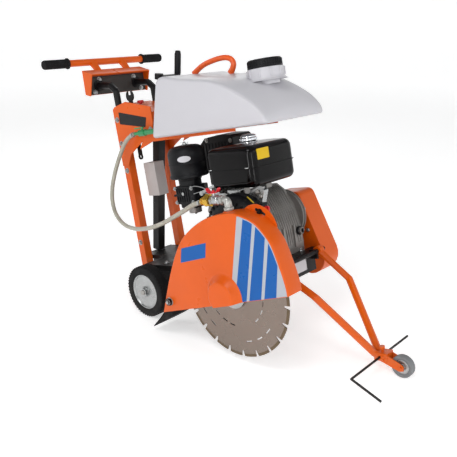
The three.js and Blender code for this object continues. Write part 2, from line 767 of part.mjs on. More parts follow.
function bladeGuard() {
  const { y0, y1 } = GUARD;
  const drop = ([x, z], by) => [x, z - by];
  const inner = inset(GUARD_OUTLINE, SHEET);
  const cavity = [drop(inner[0], 60), drop(inner[1], 60), ...inner.slice(2)];
  const shell = cut(plate(GUARD_OUTLINE, y0, y1), plate(cavity, y0 + SHEET, y1 - SHEET));
  const dome = turnedY(
    [[0, y0 - DOME.height], [DOME.top, y0 - DOME.height], [DOME.base, y0], [DOME.base, y0 + 1], [0, y0 + 1]],
    BLADE_X, BLADE_Z,
  );
  const ceiling = y0 - DOME.height + SHEET;
  const hollow = [
    [0, ceiling], [DOME.top - 3, ceiling], [DOME.base - 3, y0 + SHEET], [DOME.base - 3, y0 + 4], [0, y0 + 4],
  ];
  const domeInside = turnedY(hollow, BLADE_X, BLADE_Z);
  const [footRear, footFront] = [guardBottomZ(100), guardBottomZ(800)];
  const openSide = [[100, footRear - 200], [800, footFront - 200], [800, footFront], [100, footRear]];
  const below = plate(openSide, y0 - 60, y1 + 10);
  const shaftSlot = join(
    barY(BLADE_X, BLADE_Z, FLANGE_R + 8, y1 - SHEET - 1, y1 + 1, 24),
    box(BLADE_X - FLANGE_R - 8, BLADE_X + FLANGE_R + 8, y1 - SHEET - 1, y1 + 1, -100, BLADE_Z),
  );
  const earOutline = [
    [560, 300], [690, 250], [694, 268], [682, 300], [660, 322], [625, 336], [590, 332], [568, 318],
  ];
  const ear = cut(
    plate(earOutline, y1 - SHEET, y1),
    plate([[612, 315], [650, 295], [656, 305], [618, 325]], y1 - SHEET - 1, y1 + 1),
  );
  const elbowSeat = barZ(537, (y0 + y1) / 2, 17, 300, 322, 16);
  return cut(
    join(cut(join(shell, dome, elbowSeat), domeInside, below), ear),
    barY(GUARD_PIVOT.x, GUARD_PIVOT.z, GUARD_PIVOT.r + RUN, y0 - 1, y1 + 1, 20),
    shaftSlot,
  );
}

function splashFlap() {
  const fall = (x, d) => [x, guardBottomZ(x) - d];
  const outline = [
    fall(168, 0.5), [142, -66], [97, -101], [95, -106], [150, -82], [214, -52], fall(216, 0.5),
  ];
  return plate(outline, GUARD.y0 + 1, -222);
}

const VALVE_Y = (GUARD.y0 + GUARD.y1) / 2;
const VALVE_Z = 356;

function waterValve() {
  return join(
    pipe([[537, VALVE_Y, 322 + GAP], [537, VALVE_Y, VALVE_Z], [505, VALVE_Y, VALVE_Z]], 13),
    bar([508, VALVE_Y, VALVE_Z], [456, VALVE_Y, VALVE_Z], 16, 12),
    barZ(481, VALVE_Y, 6, VALVE_Z + 10, VALVE_Z + 22, 12),
    bar([458, VALVE_Y, VALVE_Z], [438, VALVE_Y, VALVE_Z - 2], 21, 6),
    bar([440, VALVE_Y, VALVE_Z - 2], [424, VALVE_Y, VALVE_Z - 4], 15, 16),
  );
}

function valveLever() {
  const z = VALVE_Z + 22 + GAP;
  return join(
    box(455, 507, VALVE_Y - 6, VALVE_Y + 6, z, z + 4),
    box(455, 468, VALVE_Y - 8, VALVE_Y + 8, z, z + 11),
    box(494, 507, VALVE_Y - 8, VALVE_Y + 8, z, z + 11),
  );
}

// Hose route, chosen by hand: tank tap outlet, round the back of the right post, up to the guard valve.
const HOSE_R = 8;
const HOSE_ROUTE = [
  [TAP.x0 - 3.5, TAP.y, TAP.z], [-62, -146, 588], [-88, -148, 576], [-110, -151, 558],
  [-132, -156, 530], [-155, -167, 488], [-170, -180, 446], [-177, -196, 400], [-172, -212, 352],
  [-148, -228, 308], [-110, -240, 275], [-60, -251, 255], [0, -260, 247], [60, -267, 249],
  [130, -275, 259], [200, -283, 277], [270, -289, 301], [330, -293, 323], [380, -295.5, 342],
  [423, VALVE_Y, VALVE_Z - 4.6],
];

function waterHose() {
  const points = HOSE_ROUTE.map((p) => new THREE.Vector3(...p));
  const extrudePath = new THREE.CatmullRomCurve3(points, false, "centripetal");
  const round = arc(0, 0, HOSE_R, 0, 315, 7).map(([x, y]) => new THREE.Vector2(x, y));
  const section = new THREE.Shape(round);
  return solid(new THREE.ExtrudeGeometry(section, { steps: 36, extrudePath, bevelEnabled: false }));
}

// ---------------------------------------------------------------- front guide
const GUIDE_BEND = [686, -8];
const GUIDE_HEAD = fromLevel([845, 0, 52]);
const GUIDE_NOSE = fromLevel([885, 0, 46]);
const GUIDE_AXLE = fromLevel([GUIDE_WHEEL.x, 0, GUIDE_WHEEL.r]);
const FORK_Y = GUIDE_WHEEL.width / 2 + 3;

function guideArm(side) {
  const y = side < 0 ? GUIDE.right : GUIDE.left;
  const merge = side * GUIDE.r;
  const foot = [GUIDE.x, y, GUIDE.z];
  const path = [
    foot,
    [GUIDE_BEND[0], y * 0.86, GUIDE_BEND[1]],
    [GUIDE_HEAD[0], merge + side * 0.2, GUIDE_HEAD[2]],
    [GUIDE_NOSE[0], merge + side * 0.2, GUIDE_NOSE[2]],
  ];
  const eye = barY(GUIDE.x, GUIDE.z, 17, y - 12, y + 12, 24);
  const [y0, y1] = side < 0 ? [-400, -GAP / 2] : [GAP / 2, 400];
  const half = box(-100, 1200, y0, y1, -600, 600);
  const pointerHole = barY(...pointerPlace(), POINTER.r + RUN, -60, 60, 16);
  const pieces = [pipe(path, GUIDE.r), eye];
  if (side < 0) pieces.push(...guideHead());
  return cut(
    join(...pieces).intersect(side < 0 ? join(half, headZone()) : half),
    ...(side < 0 ? [] : [headZone()]),
    barY(GUIDE.x, GUIDE.z, 8 + RUN, y - 20, y + 20, 20),
    pointerHole,
  );
}

function pointerPlace() {
  const [x, , z] = fromLevel([POINTER.x, 0, POINTER.z]);
  return [x, z];
}

// The head block belongs to the right arm; the left arm stops short of it.
function headZone() {
  return box(GUIDE_HEAD[0] + 12, 1200, -60, 60, -600, 600);
}

function guideHead() {
  const [px, pz] = pointerPlace();
  const [ax, , az] = GUIDE_AXLE;
  const block = box(px - 22, px + 26, -FORK_Y - 6, FORK_Y + 6, pz - 13, pz + 13);
  const prong = [
    [px - 5, pz - 13], [ax - 6, az - 13], [ax + 9, az - 10],
    [ax + 11, az + 4], [ax + 2, az + 12], [px + 16, pz + 12],
  ];
  const fork = [[-FORK_Y - 4, -FORK_Y], [FORK_Y, FORK_Y + 4]].map(([y0, y1]) => plate(prong, y0, y1));
  const clamp = join(
    barZ(px, 0, 5, pz + 12, pz + 24, 12),
    barZ(px, 0, 10, pz + 22, pz + 31, 6),
  );
  const axle = barY(ax, az, 4, -FORK_Y - 9, FORK_Y + 9, 16);
  return [block, ...fork, clamp, axle];
}

function guideWheel() {
  const [x, , z] = GUIDE_AXLE;
  const half = GUIDE_WHEEL.width / 2;
  return cut(
    wheelDisc(x, z, GUIDE_WHEEL.r, -half, half, 24),
    barY(x, z, 4 + RUN, -half - 1, half + 1, 16),
  );
}

function pointerRod() {
  const corner = [POINTER.x, -196, POINTER.z];
  return pipe([[POINTER.x, 170, POINTER.z], corner, [977, -200, 20]].map(fromLevel), POINTER.r, 10);
}

// ---------------------------------------------------------------- water tank
// Side profile of the tank: flat bottom, rear face leaning forward, top falling in one long curve.
const TANK_PROFILE = [
  [74, TANK.z], [622, TANK.z], [623, 578], [608, 604], [580, 634], [534, 666], [469, 704], [399, 731],
  [323, 746], [250, 760], [195, 774], [165, 776], [147, 768], [137, 752], [108, 668],
];

function tankTop(x, y) {
  const share = 1 - Math.min(1, Math.abs(y) / TANK.half) ** 2;
  const rise = THREE.MathUtils.clamp((x - 190) / 340, 0, 1) ** 2;
  const fall = THREE.MathUtils.clamp((622 - x) / 90, 0, 1) ** 0.4;
  return TANK.crown * share * rise * fall;
}

function tankLoop(y, shrink) {
  return inset(TANK_PROFILE, shrink).map(([x, z]) => [x, y, z > TANK.z + 20 ? z + tankTop(x, y) : z]);
}

function tankBody(skin) {
  const half = TANK.half - skin;
  const stations = [
    [-half, 10], [-half + 4, 3], [-half + 14, 0], [-75, 0], [0, 0], [75, 0],
    [half - 14, 0], [half - 4, 3], [half, 10],
  ];
  return loft(stations.map(([y, soft]) => tankLoop(y, skin + soft)).reverse());
}

function waterTank() {
  const { neckX, neckR, neckTop, boreR, wall } = TANK;
  const neck = join(
    barZ(neckX, 0, neckR, 600, neckTop, 24),
    barZ(neckX, 0, boreR + 6, neckTop - 1, neckTop + 14, 24),
  );
  return cut(
    join(tankBody(0), neck),
    tankBody(wall),
    barZ(neckX, 0, boreR, 600, neckTop + 20, 24),
    bar([60, TAP.y, TAP.z], [95, TAP.y, TAP.z], 5, 12),
  );
}

function tankCap() {
  const { neckX, neckTop, boreR } = TANK;
  return cut(
    join(
      barZ(neckX, 0, TANK_CAP.r, neckTop + GAP, TANK_CAP.z1 - 5, 28),
      barZ(neckX, 0, TANK_CAP.r, TANK_CAP.z1 - 5, TANK_CAP.z1, 28, TANK_CAP.r - 6),
    ),
    barZ(neckX, 0, boreR + 6 + RUN + 0.5, neckTop, neckTop + 18, 24),
  );
}

function tankHandle() {
  const top = (x) => {
    const i = TANK_PROFILE.findIndex(([px], k) => k > 2 && px <= x);
    const [[xa, za], [xb, zb]] = [TANK_PROFILE[i - 1], TANK_PROFILE[i]];
    return za + ((zb - za) * (x - xa)) / (xb - xa) + tankTop(x, 0);
  };
  const path = [[188, 0, top(188) + 3], [256, 0, 799], [350, 0, 808], [384, 0, 787], [362, 0, top(362) + 3]];
  return cut(pipe(path, 10), tankBody(-GAP));
}

function tankTap() {
  return join(
    bar([77.5, TAP.y, TAP.z], [20, TAP.y, TAP.z], TAP.r, 16),
    bar([22, TAP.y, TAP.z], [-12, TAP.y, TAP.z], 13, 8),
    bar([-11, TAP.y, TAP.z], [TAP.x0, TAP.y, TAP.z], 6.5, 14),
    barZ(6, TAP.y, 5, TAP.z + 10, TAP.z + 17, 12),
  );
}

function tankTapLever() {
  const z = TAP.z + 17 + GAP;
  return join(barZ(6, TAP.y, 8, z, z + 5, 16), box(-34, 6, TAP.y - 5, TAP.y + 5, z, z + 5));
}

// ---------------------------------------------------------------- handle
function handleStem(side) {
  const y = side * POST.y;
  const { lift, back } = HANDLE;
  const path = [
    [POST.x, y, 485], [POST.x, y, lift - 14], [POST.x - 26, y, lift + 10], [back + 3 + GAP, y, lift + 22],
  ];
  return join(
    pipe(path, 13.8),
    bar([back + 4 + GAP, y, lift + 22], [back + GAP, y, lift + 22], 24, 20),
  );
}

function handlebar() {
  const { back, barX, barZ: z, barR, barHalf } = HANDLE;
  const backing = plate([[back - 4, 768], [back, 768], [back, 846], [back - 4, 846]], -150, 150);
  const channel = plate([[back - 20, 866], [back + 40, 843], [back + 40, 847], [back - 20, 870]], -134, 134);
  const web = plate([[back - 4, 840], [back, 840], [back, 862], [back - 4, 864]], -134, 134);
  const flanges = [-1, 1].map((side) => {
    const y = side * 148;
    return plate(
      [[back - 26, 774], [back + 6, 764], [back + 40, 845], [back - 20, 868]],
      Math.min(y, y + side * SHEET), Math.max(y, y + side * SHEET),
    );
  });
  const corners = [-1, 1].map((side) => plate(
    [[back - 20, 866], [back + 40, 843], [back + 40, 847], [back - 20, 870]],
    Math.min(side * 133, side * 151), Math.max(side * 133, side * 151),
  ));
  const struts = [-75, 75].map((y) => plate(
    [[back - 20, 866], [back - 8, 864], [barX + 14, z + 2], [barX, z + 6], [barX - 4, z - 4]], y - 14, y + 14,
  ));
  const round = barY(barX, z, barR, -barHalf, barHalf, 20);
  const sockets = [-1, 1].map((side) => {
    const [a, b] = [side * (barHalf - GRIP_LENGTH), side * (barHalf + 4)];
    return barY(barX, z, GRIP_R + 1, Math.min(a, b), Math.max(a, b), 20);
  });
  const core = barY(barX, z, barR - 2, -barHalf + 6, barHalf - 6, 20);
  return join(cut(join(backing, channel, web, ...flanges, ...corners, ...struts, round), ...sockets), core);
}

function handleGrip(side) {
  const { barX, barZ: z, barR, barHalf } = HANDLE;
  const [a, b] = [side * (barHalf - GRIP_LENGTH + GAP), side * barHalf];
  const [y0, y1] = [Math.min(a, b), Math.max(a, b)];
  const inner = side * (barHalf - 6 + GAP);
  const flangeEnd = side * (barHalf - GRIP_LENGTH + 5);
  return cut(
    join(
      barY(barX, z, GRIP_R, y0, y1, 20),
      barY(barX, z, GRIP_R + 4, Math.min(a, flangeEnd), Math.max(a, flangeEnd), 20),
    ),
    barY(barX, z, barR - 2 + GAP, Math.min(a - side, inner), Math.max(a - side, inner), 20),
  );
}

// ---------------------------------------------------------------- console pieces
function spanner() {
  const [x, y] = [-92, -95];
  const jaw = cut(barY(x, 738, 22, y - 3, y + 3, 16), box(x - 9, x + 9, y - 5, y + 5, 742, 765));
  const shank = box(x - 10, x + 10, y - 3, y + 3, 500, 730);
  const eye = barY(x, 500, 12, y - 3, y + 3, 16);
  return cut(join(jaw, shank, eye), barY(x, 500, 6, y - 5, y + 5, 12));
}

function stopButton() {
  const z = consoleTopZ(-95);
  return join(barZ(-95, -45, 6, z + 6, z + 12, 12), barZ(-95, -45, 13, z + 11, z + 22, 20));
}

// ---------------------------------------------------------------- assembly
const PAINT = {
  orange: { color: 0xe86420, roughness: 0.35, metalness: 0.1 },
  black: { color: 0x161618, roughness: 0.45, metalness: 0.2 },
  gloss: { color: 0x0c0c0e, roughness: 0.15, metalness: 0.1 },
  plastic: { color: 0x1c1c1f, roughness: 0.6, metalness: 0 },
  rubber: { color: 0x1a1a1a, roughness: 0.85, metalness: 0 },
  greyRubber: { color: 0x6f7276, roughness: 0.8, metalness: 0 },
  steel: { color: 0xa9a7a2, roughness: 0.35, metalness: 0.9 },
  zinc: { color: 0xc8ccd0, roughness: 0.3, metalness: 0.9 },
  aluminium: { color: 0xa6a8aa, roughness: 0.5, metalness: 0.7 },
  castIron: { color: 0x4a4a4c, roughness: 0.7, metalness: 0.6 },
  chrome: { color: 0xe2e4e8, roughness: 0.08, metalness: 1 },
  white: { color: 0xe6e6e8, roughness: 0.4, metalness: 0 },
  clear: { color: 0xd5d2cc, roughness: 0.4, metalness: 0 },
  red: { color: 0xc8141e, roughness: 0.4, metalness: 0 },
  green: { color: 0x1f8a4c, roughness: 0.4, metalness: 0 },
  hose: { color: 0xbdb9ae, roughness: 0.4, metalness: 0 },
};

const chassis = new THREE.Group();
chassis.rotation.y = -TILT;
chassis.position.z = REAR_WHEEL_R;

function add(name, paint, manifold) {
  const mesh = new THREE.Mesh(geometryOf(manifold), new THREE.MeshStandardMaterial(PAINT[paint]));
  mesh.name = name;
  chassis.add(mesh);
}

add("chassis_frame", "black", chassisFrame());
add("rear_axle", "steel", rearAxle());
add("side_frame_right", "orange", sideFrame(-1));
add("side_frame_left", "orange", sideFrame(1));
add("console_top", "orange", consoleTop());
add("spindle_column", "black", spindleColumn());
add("tool_box", "clear", toolBox());
add("crankcase", "aluminium", crankcase());
add("cylinder", "aluminium", cylinder());
add("recoil_starter", "plastic", recoilStarter());
add("fuel_tank", "gloss", fuelTank());
add("air_filter", "plastic", airFilter());
add("carburettor", "aluminium", carburettor());
add("muffler", "black", muffler());
add("bearing_right", "castIron", bearing(DECK.y0 + 22));
add("bearing_left", "castIron", bearing(DECK.y1 - 26));
add("belt_guard_back", "orange", beltGuardBack());
add("belt_guard_cover", "orange", beltGuardCover());
add("drive_belt", "rubber", driveBelt());
add("crankshaft", "steel", crankshaft());
add("drive_pulley", "castIron", pulley(CRANK_X, CRANK_Z, CRANKSHAFT_R - 2));
add("blade_shaft", "steel", bladeShaft());
add("driven_pulley", "castIron", pulley(BLADE_X, BLADE_Z, BLADE_SHAFT_R - 3));
add("blade", "steel", blade());
add("outer_flange", "steel", outerFlange());
add("recoil_handle", "plastic", recoilHandle());
add("fuel_cap", "chrome", fuelCap());
add("throttle_lever", "zinc", throttleLever());
add("choke_lever", "plastic", chokeLever());
add("engine_switch", "red", engineSwitch());
add("rear_wheel_right", "rubber", rearWheel(-1));
add("rear_wheel_left", "rubber", rearWheel(1));
add("wheel_carriage", "black", wheelCarriage());
add("front_wheel_right", "rubber", frontWheel(-1));
add("front_wheel_left", "rubber", frontWheel(1));
add("lift_screw", "steel", liftScrew());
add("lift_nut", "steel", liftNut());
add("crank_arm", "black", crankArm());
add("crank_grip", "plastic", crankGrip());
add("blade_guard", "orange", bladeGuard());
add("splash_flap", "rubber", splashFlap());
add("water_valve", "zinc", waterValve());
add("valve_lever", "red", valveLever());
add("water_hose", "hose", waterHose());
add("guide_arm_right", "orange", guideArm(-1));
add("guide_arm_left", "orange", guideArm(1));
add("guide_wheel", "greyRubber", guideWheel());
add("pointer_rod", "black", pointerRod());
add("water_tank", "white", waterTank());
add("tank_handle", "orange", tankHandle());
add("tank_tap", "green", tankTap());
add("tank_tap_lever", "green", tankTapLever());
add("tank_cap", "plastic", tankCap());
add("handle_stem_right", "black", handleStem(-1));
add("handle_stem_left", "black", handleStem(1));
add("handlebar", "orange", handlebar());
add("grip_right", "rubber", handleGrip(-1));
add("grip_left", "rubber", handleGrip(1));
add("spanner", "black", spanner());
add("stop_button", "red", stopButton());

// The part's origin is the middle of the bottom of the object's box, measured without the hose.
const part = new THREE.Group();
part.add(chassis);
part.updateMatrixWorld(true);
const extent = new THREE.Box3();
chassis.children
  .filter((mesh) => mesh.name !== "water_hose")
  .forEach((mesh) => extent.expandByObject(mesh, true));
const middle = extent.getCenter(new THREE.Vector3());
part.position.set(-middle.x, -middle.y, -extent.min.z);

export default part;
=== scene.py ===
"""Looks for the walk-behind concrete saw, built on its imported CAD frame. Blender 4.5."""

import math

import bmesh
import bpy
from mathutils import Matrix, Vector


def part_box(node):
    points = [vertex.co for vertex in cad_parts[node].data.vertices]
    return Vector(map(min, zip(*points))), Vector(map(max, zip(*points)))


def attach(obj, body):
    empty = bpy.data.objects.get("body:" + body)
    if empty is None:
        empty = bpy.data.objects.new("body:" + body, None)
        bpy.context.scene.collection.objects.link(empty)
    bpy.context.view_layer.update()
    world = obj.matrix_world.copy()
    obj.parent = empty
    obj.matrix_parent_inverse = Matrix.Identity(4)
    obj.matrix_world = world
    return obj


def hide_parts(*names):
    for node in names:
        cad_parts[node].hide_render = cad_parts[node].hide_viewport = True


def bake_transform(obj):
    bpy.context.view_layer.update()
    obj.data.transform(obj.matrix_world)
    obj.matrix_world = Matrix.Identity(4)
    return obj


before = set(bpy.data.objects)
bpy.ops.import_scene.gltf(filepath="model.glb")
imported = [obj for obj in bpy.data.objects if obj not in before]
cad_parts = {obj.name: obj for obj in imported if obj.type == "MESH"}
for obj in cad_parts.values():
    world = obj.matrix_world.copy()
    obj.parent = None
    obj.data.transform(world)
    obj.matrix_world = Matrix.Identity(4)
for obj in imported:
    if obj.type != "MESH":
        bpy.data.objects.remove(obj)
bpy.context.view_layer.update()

# The chassis frame: millimetres from the middle of the rear axle, nose-up by TILT, as in the CAD.
TILT = math.radians(12)
AXLE_LOW, AXLE_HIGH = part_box("rear_axle")
AXLE = (AXLE_LOW + AXLE_HIGH) / 2
CHASSIS = Matrix.Translation(AXLE) @ Matrix.Rotation(-TILT, 4, "Y") @ Matrix.Scale(0.001, 4)

CRANK = (428, 220)
BLADE = (489, 49)
BLADE_Y = -282
GUARD_Y0, GUARD_Y1 = -330, -262
TANK_HALF = 163


def at(x, y, z, space=CHASSIS):
    return space @ Vector((x, y, z))


# ---------------------------------------------------------------- camera
def add_camera():
    data = bpy.data.cameras.new("camera")
    data.sensor_width = 36
    data.lens = 49.5
    data.clip_start = 0.05
    camera = bpy.data.objects.new("camera", data)
    camera.location = AXLE + Vector((1.7078, -1.6869, 1.006))
    camera.rotation_euler = (math.radians(90 - 18.848), 0, math.radians(42))
    bpy.context.scene.collection.objects.link(camera)
    bpy.context.scene.camera = camera


# ---------------------------------------------------------------- material helpers
def rgb(red, green, blue):
    """Linear colour of an 8-bit sRGB one."""
    return tuple(
        (c / 255 / 12.92) if c / 255 <= 0.04045 else ((c / 255 + 0.055) / 1.055) ** 2.4
        for c in (red, green, blue)
    ) + (1.0,)


def scaled(colour, factor):
    return tuple(min(1.0, c * factor) for c in colour[:3]) + (1.0,)


class Shader:
    """A principled material under construction, in object coordinates (metres)."""

    def __init__(self, name, colour, roughness=0.5, metallic=0.0, coat=0.0, specular=0.5):
        self.material = bpy.data.materials.new(name)
        self.material.use_nodes = True
        self.tree = self.material.node_tree
        self.bsdf = self.tree.nodes["Principled BSDF"]
        self.bsdf.inputs["Base Color"].default_value = colour
        self.bsdf.inputs["Roughness"].default_value = roughness
        self.bsdf.inputs["Metallic"].default_value = metallic
        self.bsdf.inputs["Coat Weight"].default_value = coat
        self.bsdf.inputs["Coat Roughness"].default_value = 0.08
        self.bsdf.inputs["Specular IOR Level"].default_value = specular
        self.coords = self.tree.nodes.new("ShaderNodeTexCoord").outputs["Object"]
        self.height = None

    def node(self, kind, **settings):
        made = self.tree.nodes.new(kind)
        for key, value in settings.items():
            setattr(made, key, value)
        return made

    def link(self, output, target):
        self.tree.links.new(output, target)

    def stretched(self, scale):
        mapping = self.node("ShaderNodeMapping")
        mapping.inputs["Scale"].default_value = scale
        self.link(self.coords, mapping.inputs["Vector"])
        return mapping.outputs["Vector"]

    def noise(self, scale, detail=3.0, roughness=0.55, stretch=None):
        made = self.node("ShaderNodeTexNoise")
        made.inputs["Scale"].default_value = scale
        made.inputs["Detail"].default_value = detail
        made.inputs["Roughness"].default_value = roughness
        self.link(self.stretched(stretch) if stretch else self.coords, made.inputs["Vector"])
        return made.outputs["Fac"]

    def ramp(self, value, stops):
        made = self.node("ShaderNodeValToRGB")
        elements = made.color_ramp.elements
        while len(elements) < len(stops):
            elements.new(0.5)
        for element, (position, colour) in zip(elements, stops):
            element.position = position
            element.color = colour if len(colour) == 4 else (*colour, 1.0)
        self.link(value, made.inputs["Fac"])
        return made.outputs["Color"]

    def mix(self, factor, a, b):
        made = self.node("ShaderNodeMix", data_type="RGBA")
        self.link(factor, made.inputs["Factor"])
        for value, socket in ((a, made.inputs[6]), (b, made.inputs[7])):
            if isinstance(value, tuple):
                socket.default_value = value
            else:
                self.link(value, socket)
        return made.outputs[2]

    def colour(self, output):
        self.link(output, self.bsdf.inputs["Base Color"])

    def mottle(self, colour, scale=9.0, spread=0.06, stretch=None):
        """Slow drift of the colour about its mean."""
        drift = self.noise(scale, 4.0, 0.6, stretch)
        low, high = scaled(colour, 1 - spread), scaled(colour, 1 + spread)
        return self.ramp(drift, [(0.3, low), (0.7, high)])

    def rough(self, low, high, scale=14.0, stretch=None):
        made = self.node("ShaderNodeMapRange")
        made.inputs["To Min"].default_value = low
        made.inputs["To Max"].default_value = high
        made.inputs["From Min"].default_value = 0.3
        made.inputs["From Max"].default_value = 0.7
        self.link(self.noise(scale, 4.0, 0.6, stretch), made.inputs["Value"])
        self.link(made.outputs["Result"], self.bsdf.inputs["Roughness"])

    def bump(self, height, strength, distance=0.001):
        made = self.node("ShaderNodeBump")
        made.inputs["Strength"].default_value = strength
        made.inputs["Distance"].default_value = distance
        self.link(height, made.inputs["Height"])
        if self.height:
            self.link(self.height, made.inputs["Normal"])
        self.height = made.outputs["Normal"]
        self.link(self.height, self.bsdf.inputs["Normal"])

    def edge_mask(self, low=0.52, high=0.6):
        """White where the surface turns outwards sharply."""
        pointed = self.node("ShaderNodeNewGeometry").outputs["Pointiness"]
        return self.ramp(pointed, [(low, (0, 0, 0)), (high, (1, 1, 1))])

    def low_dust(self, top):
        """Grey dust that thickens towards the ground, below the height top."""
        split = self.node("ShaderNodeSeparateXYZ")
        self.link(self.coords, split.inputs["Vector"])
        fade = self.node("ShaderNodeMapRange")
        fade.inputs["From Min"].default_value = top
        fade.inputs["From Max"].default_value = 0.0
        fade.inputs["To Max"].default_value = 0.55
        self.link(split.outputs["Z"], fade.inputs["Value"])
        speckle = self.ramp(self.noise(60, 5.0, 0.7), [(0.42, (0, 0, 0)), (0.7, (1, 1, 1))])
        both = self.node("ShaderNodeMath", operation="MULTIPLY")
        self.link(fade.outputs["Result"], both.inputs[0])
        self.link(speckle, both.inputs[1])
        return both.outputs["Value"]


# ---------------------------------------------------------------- materials
def finish(name, colour, surface, drift, rough, bumps, worn=None, dust=None, subsurface=None):
    """Drifting colour, uneven roughness and fine bumps, with wear on edges and dust near the ground.

    surface is the Shader's roughness, metallic, coat and specular; drift is the mottle's scale and
    spread; each bump is its noise, strength and distance; dust is its top and its colour.
    """
    s = Shader(name, colour, *surface)
    base = s.mottle(colour, *drift)
    if worn:
        base = s.mix(s.edge_mask(0.56, 0.68), base, worn)
    if dust:
        top, grey = dust
        base = s.mix(s.low_dust(top), base, grey)
    s.colour(base)
    s.rough(*rough)
    if subsurface:
        weight, radius = subsurface
        s.bsdf.inputs["Subsurface Weight"].default_value = weight
        s.bsdf.inputs["Subsurface Radius"].default_value = radius
    for noise, strength, distance in bumps:
        s.bump(s.noise(*noise), strength, distance)
    return s.material


def coloured_plastic(name, colour, roughness=0.3):
    spread = (roughness * 0.8, roughness * 1.3, 30)
    surface = (roughness, 0.0, 0.2)
    return finish(name, colour, surface, (30.0, 0.08), spread, [((500, 2.0), 0.08, 0.0003)])


def make_galvanised():
    grey = rgb(176, 176, 172)
    s = Shader("galvanised", grey, 0.42, 0.85)
    cells = s.node("ShaderNodeTexVoronoi")
    cells.inputs["Scale"].default_value = 160
    s.link(s.coords, cells.inputs["Vector"])
    s.colour(s.ramp(cells.outputs["Color"], [(0.2, scaled(grey, 0.82)), (0.9, scaled(grey, 1.1))]))
    s.rough(0.3, 0.55, 70)
    s.bump(s.noise(320, 3.0), 0.2, 0.0005)
    return s.material


def make_blade_steel():
    """Ground disc: fine rings round the shaft, with a brown-grey tint."""
    grey = rgb(138, 126, 117)
    s = Shader("blade_steel", grey, 0.25, 1.0)
    centre = at(BLADE[0], BLADE_Y, BLADE[1])
    mapping = s.node("ShaderNodeMapping")
    mapping.inputs["Location"].default_value = -centre
    s.link(s.coords, mapping.inputs["Vector"])
    rings = s.node("ShaderNodeTexWave", wave_type="RINGS", rings_direction="Y")
    rings.inputs["Scale"].default_value = 420
    rings.inputs["Distortion"].default_value = 0.6
    s.link(mapping.outputs["Vector"], rings.inputs["Vector"])
    s.colour(s.mix(s.noise(7, 4.0, 0.6), scaled(grey, 0.86), scaled(grey, 1.06)))
    s.rough(0.2, 0.34, 10)
    s.bump(rings.outputs["Fac"], 0.12, 0.0002)
    s.bsdf.inputs["Anisotropic"].default_value = 0.6
    return s.material


def make_segment():
    """Diamond segment: sintered bronze with grit."""
    bronze = rgb(112, 96, 76)
    s = Shader("segment_bronze", bronze, 0.55, 0.7)
    grit = s.noise(900, 4.0, 0.75)
    s.colour(s.ramp(grit, [(0.35, scaled(bronze, 0.7)), (0.7, scaled(bronze, 1.2))]))
    s.bump(grit, 0.5, 0.0006)
    return s.material


def make_vinyl(name, colour):
    """Printed film: flat colour, satin gloss, a little scuffing."""
    s = Shader(name, colour, 0.3, 0.0, 0.0, 0.25)
    scuffs = s.ramp(s.noise(160, 6.0, 0.75), [(0.6, (0, 0, 0)), (0.8, (0.2, 0.2, 0.2))])
    s.colour(s.mix(scuffs, colour, scaled(colour, 1.25)))
    s.rough(0.25, 0.42, 16)
    s.bump(s.noise(40, 2.0), 0.03, 0.0008)
    return s.material


def make_floor():
    s = Shader("floor", (0.9, 0.9, 0.9, 1.0), 0.8)
    s.colour(s.mottle((0.9, 0.9, 0.9, 1.0), 1.5, 0.01))
    s.bsdf.inputs["Emission Color"].default_value = (1.0, 1.0, 1.0, 1.0)
    s.bsdf.inputs["Emission Strength"].default_value = 0.46
    return s.material


def make_paints_and_rubbers():
    return {
        "orange": finish(
            "orange_paint", rgb(212, 86, 4), (0.32, 0.0, 0.0, 0.3), (5.0, 0.05), (0.26, 0.4, 11),
            [((420, 2.0), 0.06, 0.0004), ((35, 2.0), 0.05, 0.0015)],
            dust=(0.2, rgb(190, 110, 64)),
        ),
        "black": finish(
            "black_paint", rgb(16, 15, 16), (0.38, 0.0, 0.0, 0.22), (12.0, 0.18), (0.3, 0.52, 16),
            [((380, 2.0), 0.08, 0.0004)],
            worn=rgb(60, 58, 56), dust=(0.2, rgb(76, 70, 64)),
        ),
        "plastic": finish(
            "black_plastic", rgb(16, 17, 20), (0.45, 0.0, 0.0, 0.2), (20.0, 0.15), (0.36, 0.55, 30),
            [((900, 2.0, 0.7), 0.18, 0.0004)],
        ),
        "gloss": finish(
            "gloss_black", rgb(6, 5, 6), (0.1, 0.0, 0.0, 0.17), (8.0, 0.2), (0.04, 0.1, 9),
            [((14, 1.0), 0.02, 0.002)],
        ),
        "rubber": finish(
            "black_rubber", rgb(19, 19, 20), (0.75, 0.0, 0.0, 0.2), (30.0, 0.2), (0.62, 0.85, 40),
            [((700, 3.0, 0.7), 0.25, 0.0005)],
            dust=(0.1, rgb(62, 58, 54)),
        ),
        "tyre": finish(
            "tyre_rubber", rgb(22, 22, 23), (0.8, 0.0, 0.0, 0.22), (26.0, 0.22), (0.66, 0.9, 30),
            [((520, 3.0, 0.7), 0.3, 0.0006)],
            dust=(0.16, rgb(64, 60, 55)),
        ),
        "grey_rubber": finish(
            "grey_rubber", rgb(118, 120, 122), (0.6,), (22.0, 0.1), (0.5, 0.72, 34),
            [((500, 2.0), 0.15, 0.0004)],
            dust=(0.06, rgb(70, 68, 64)),
        ),
    }


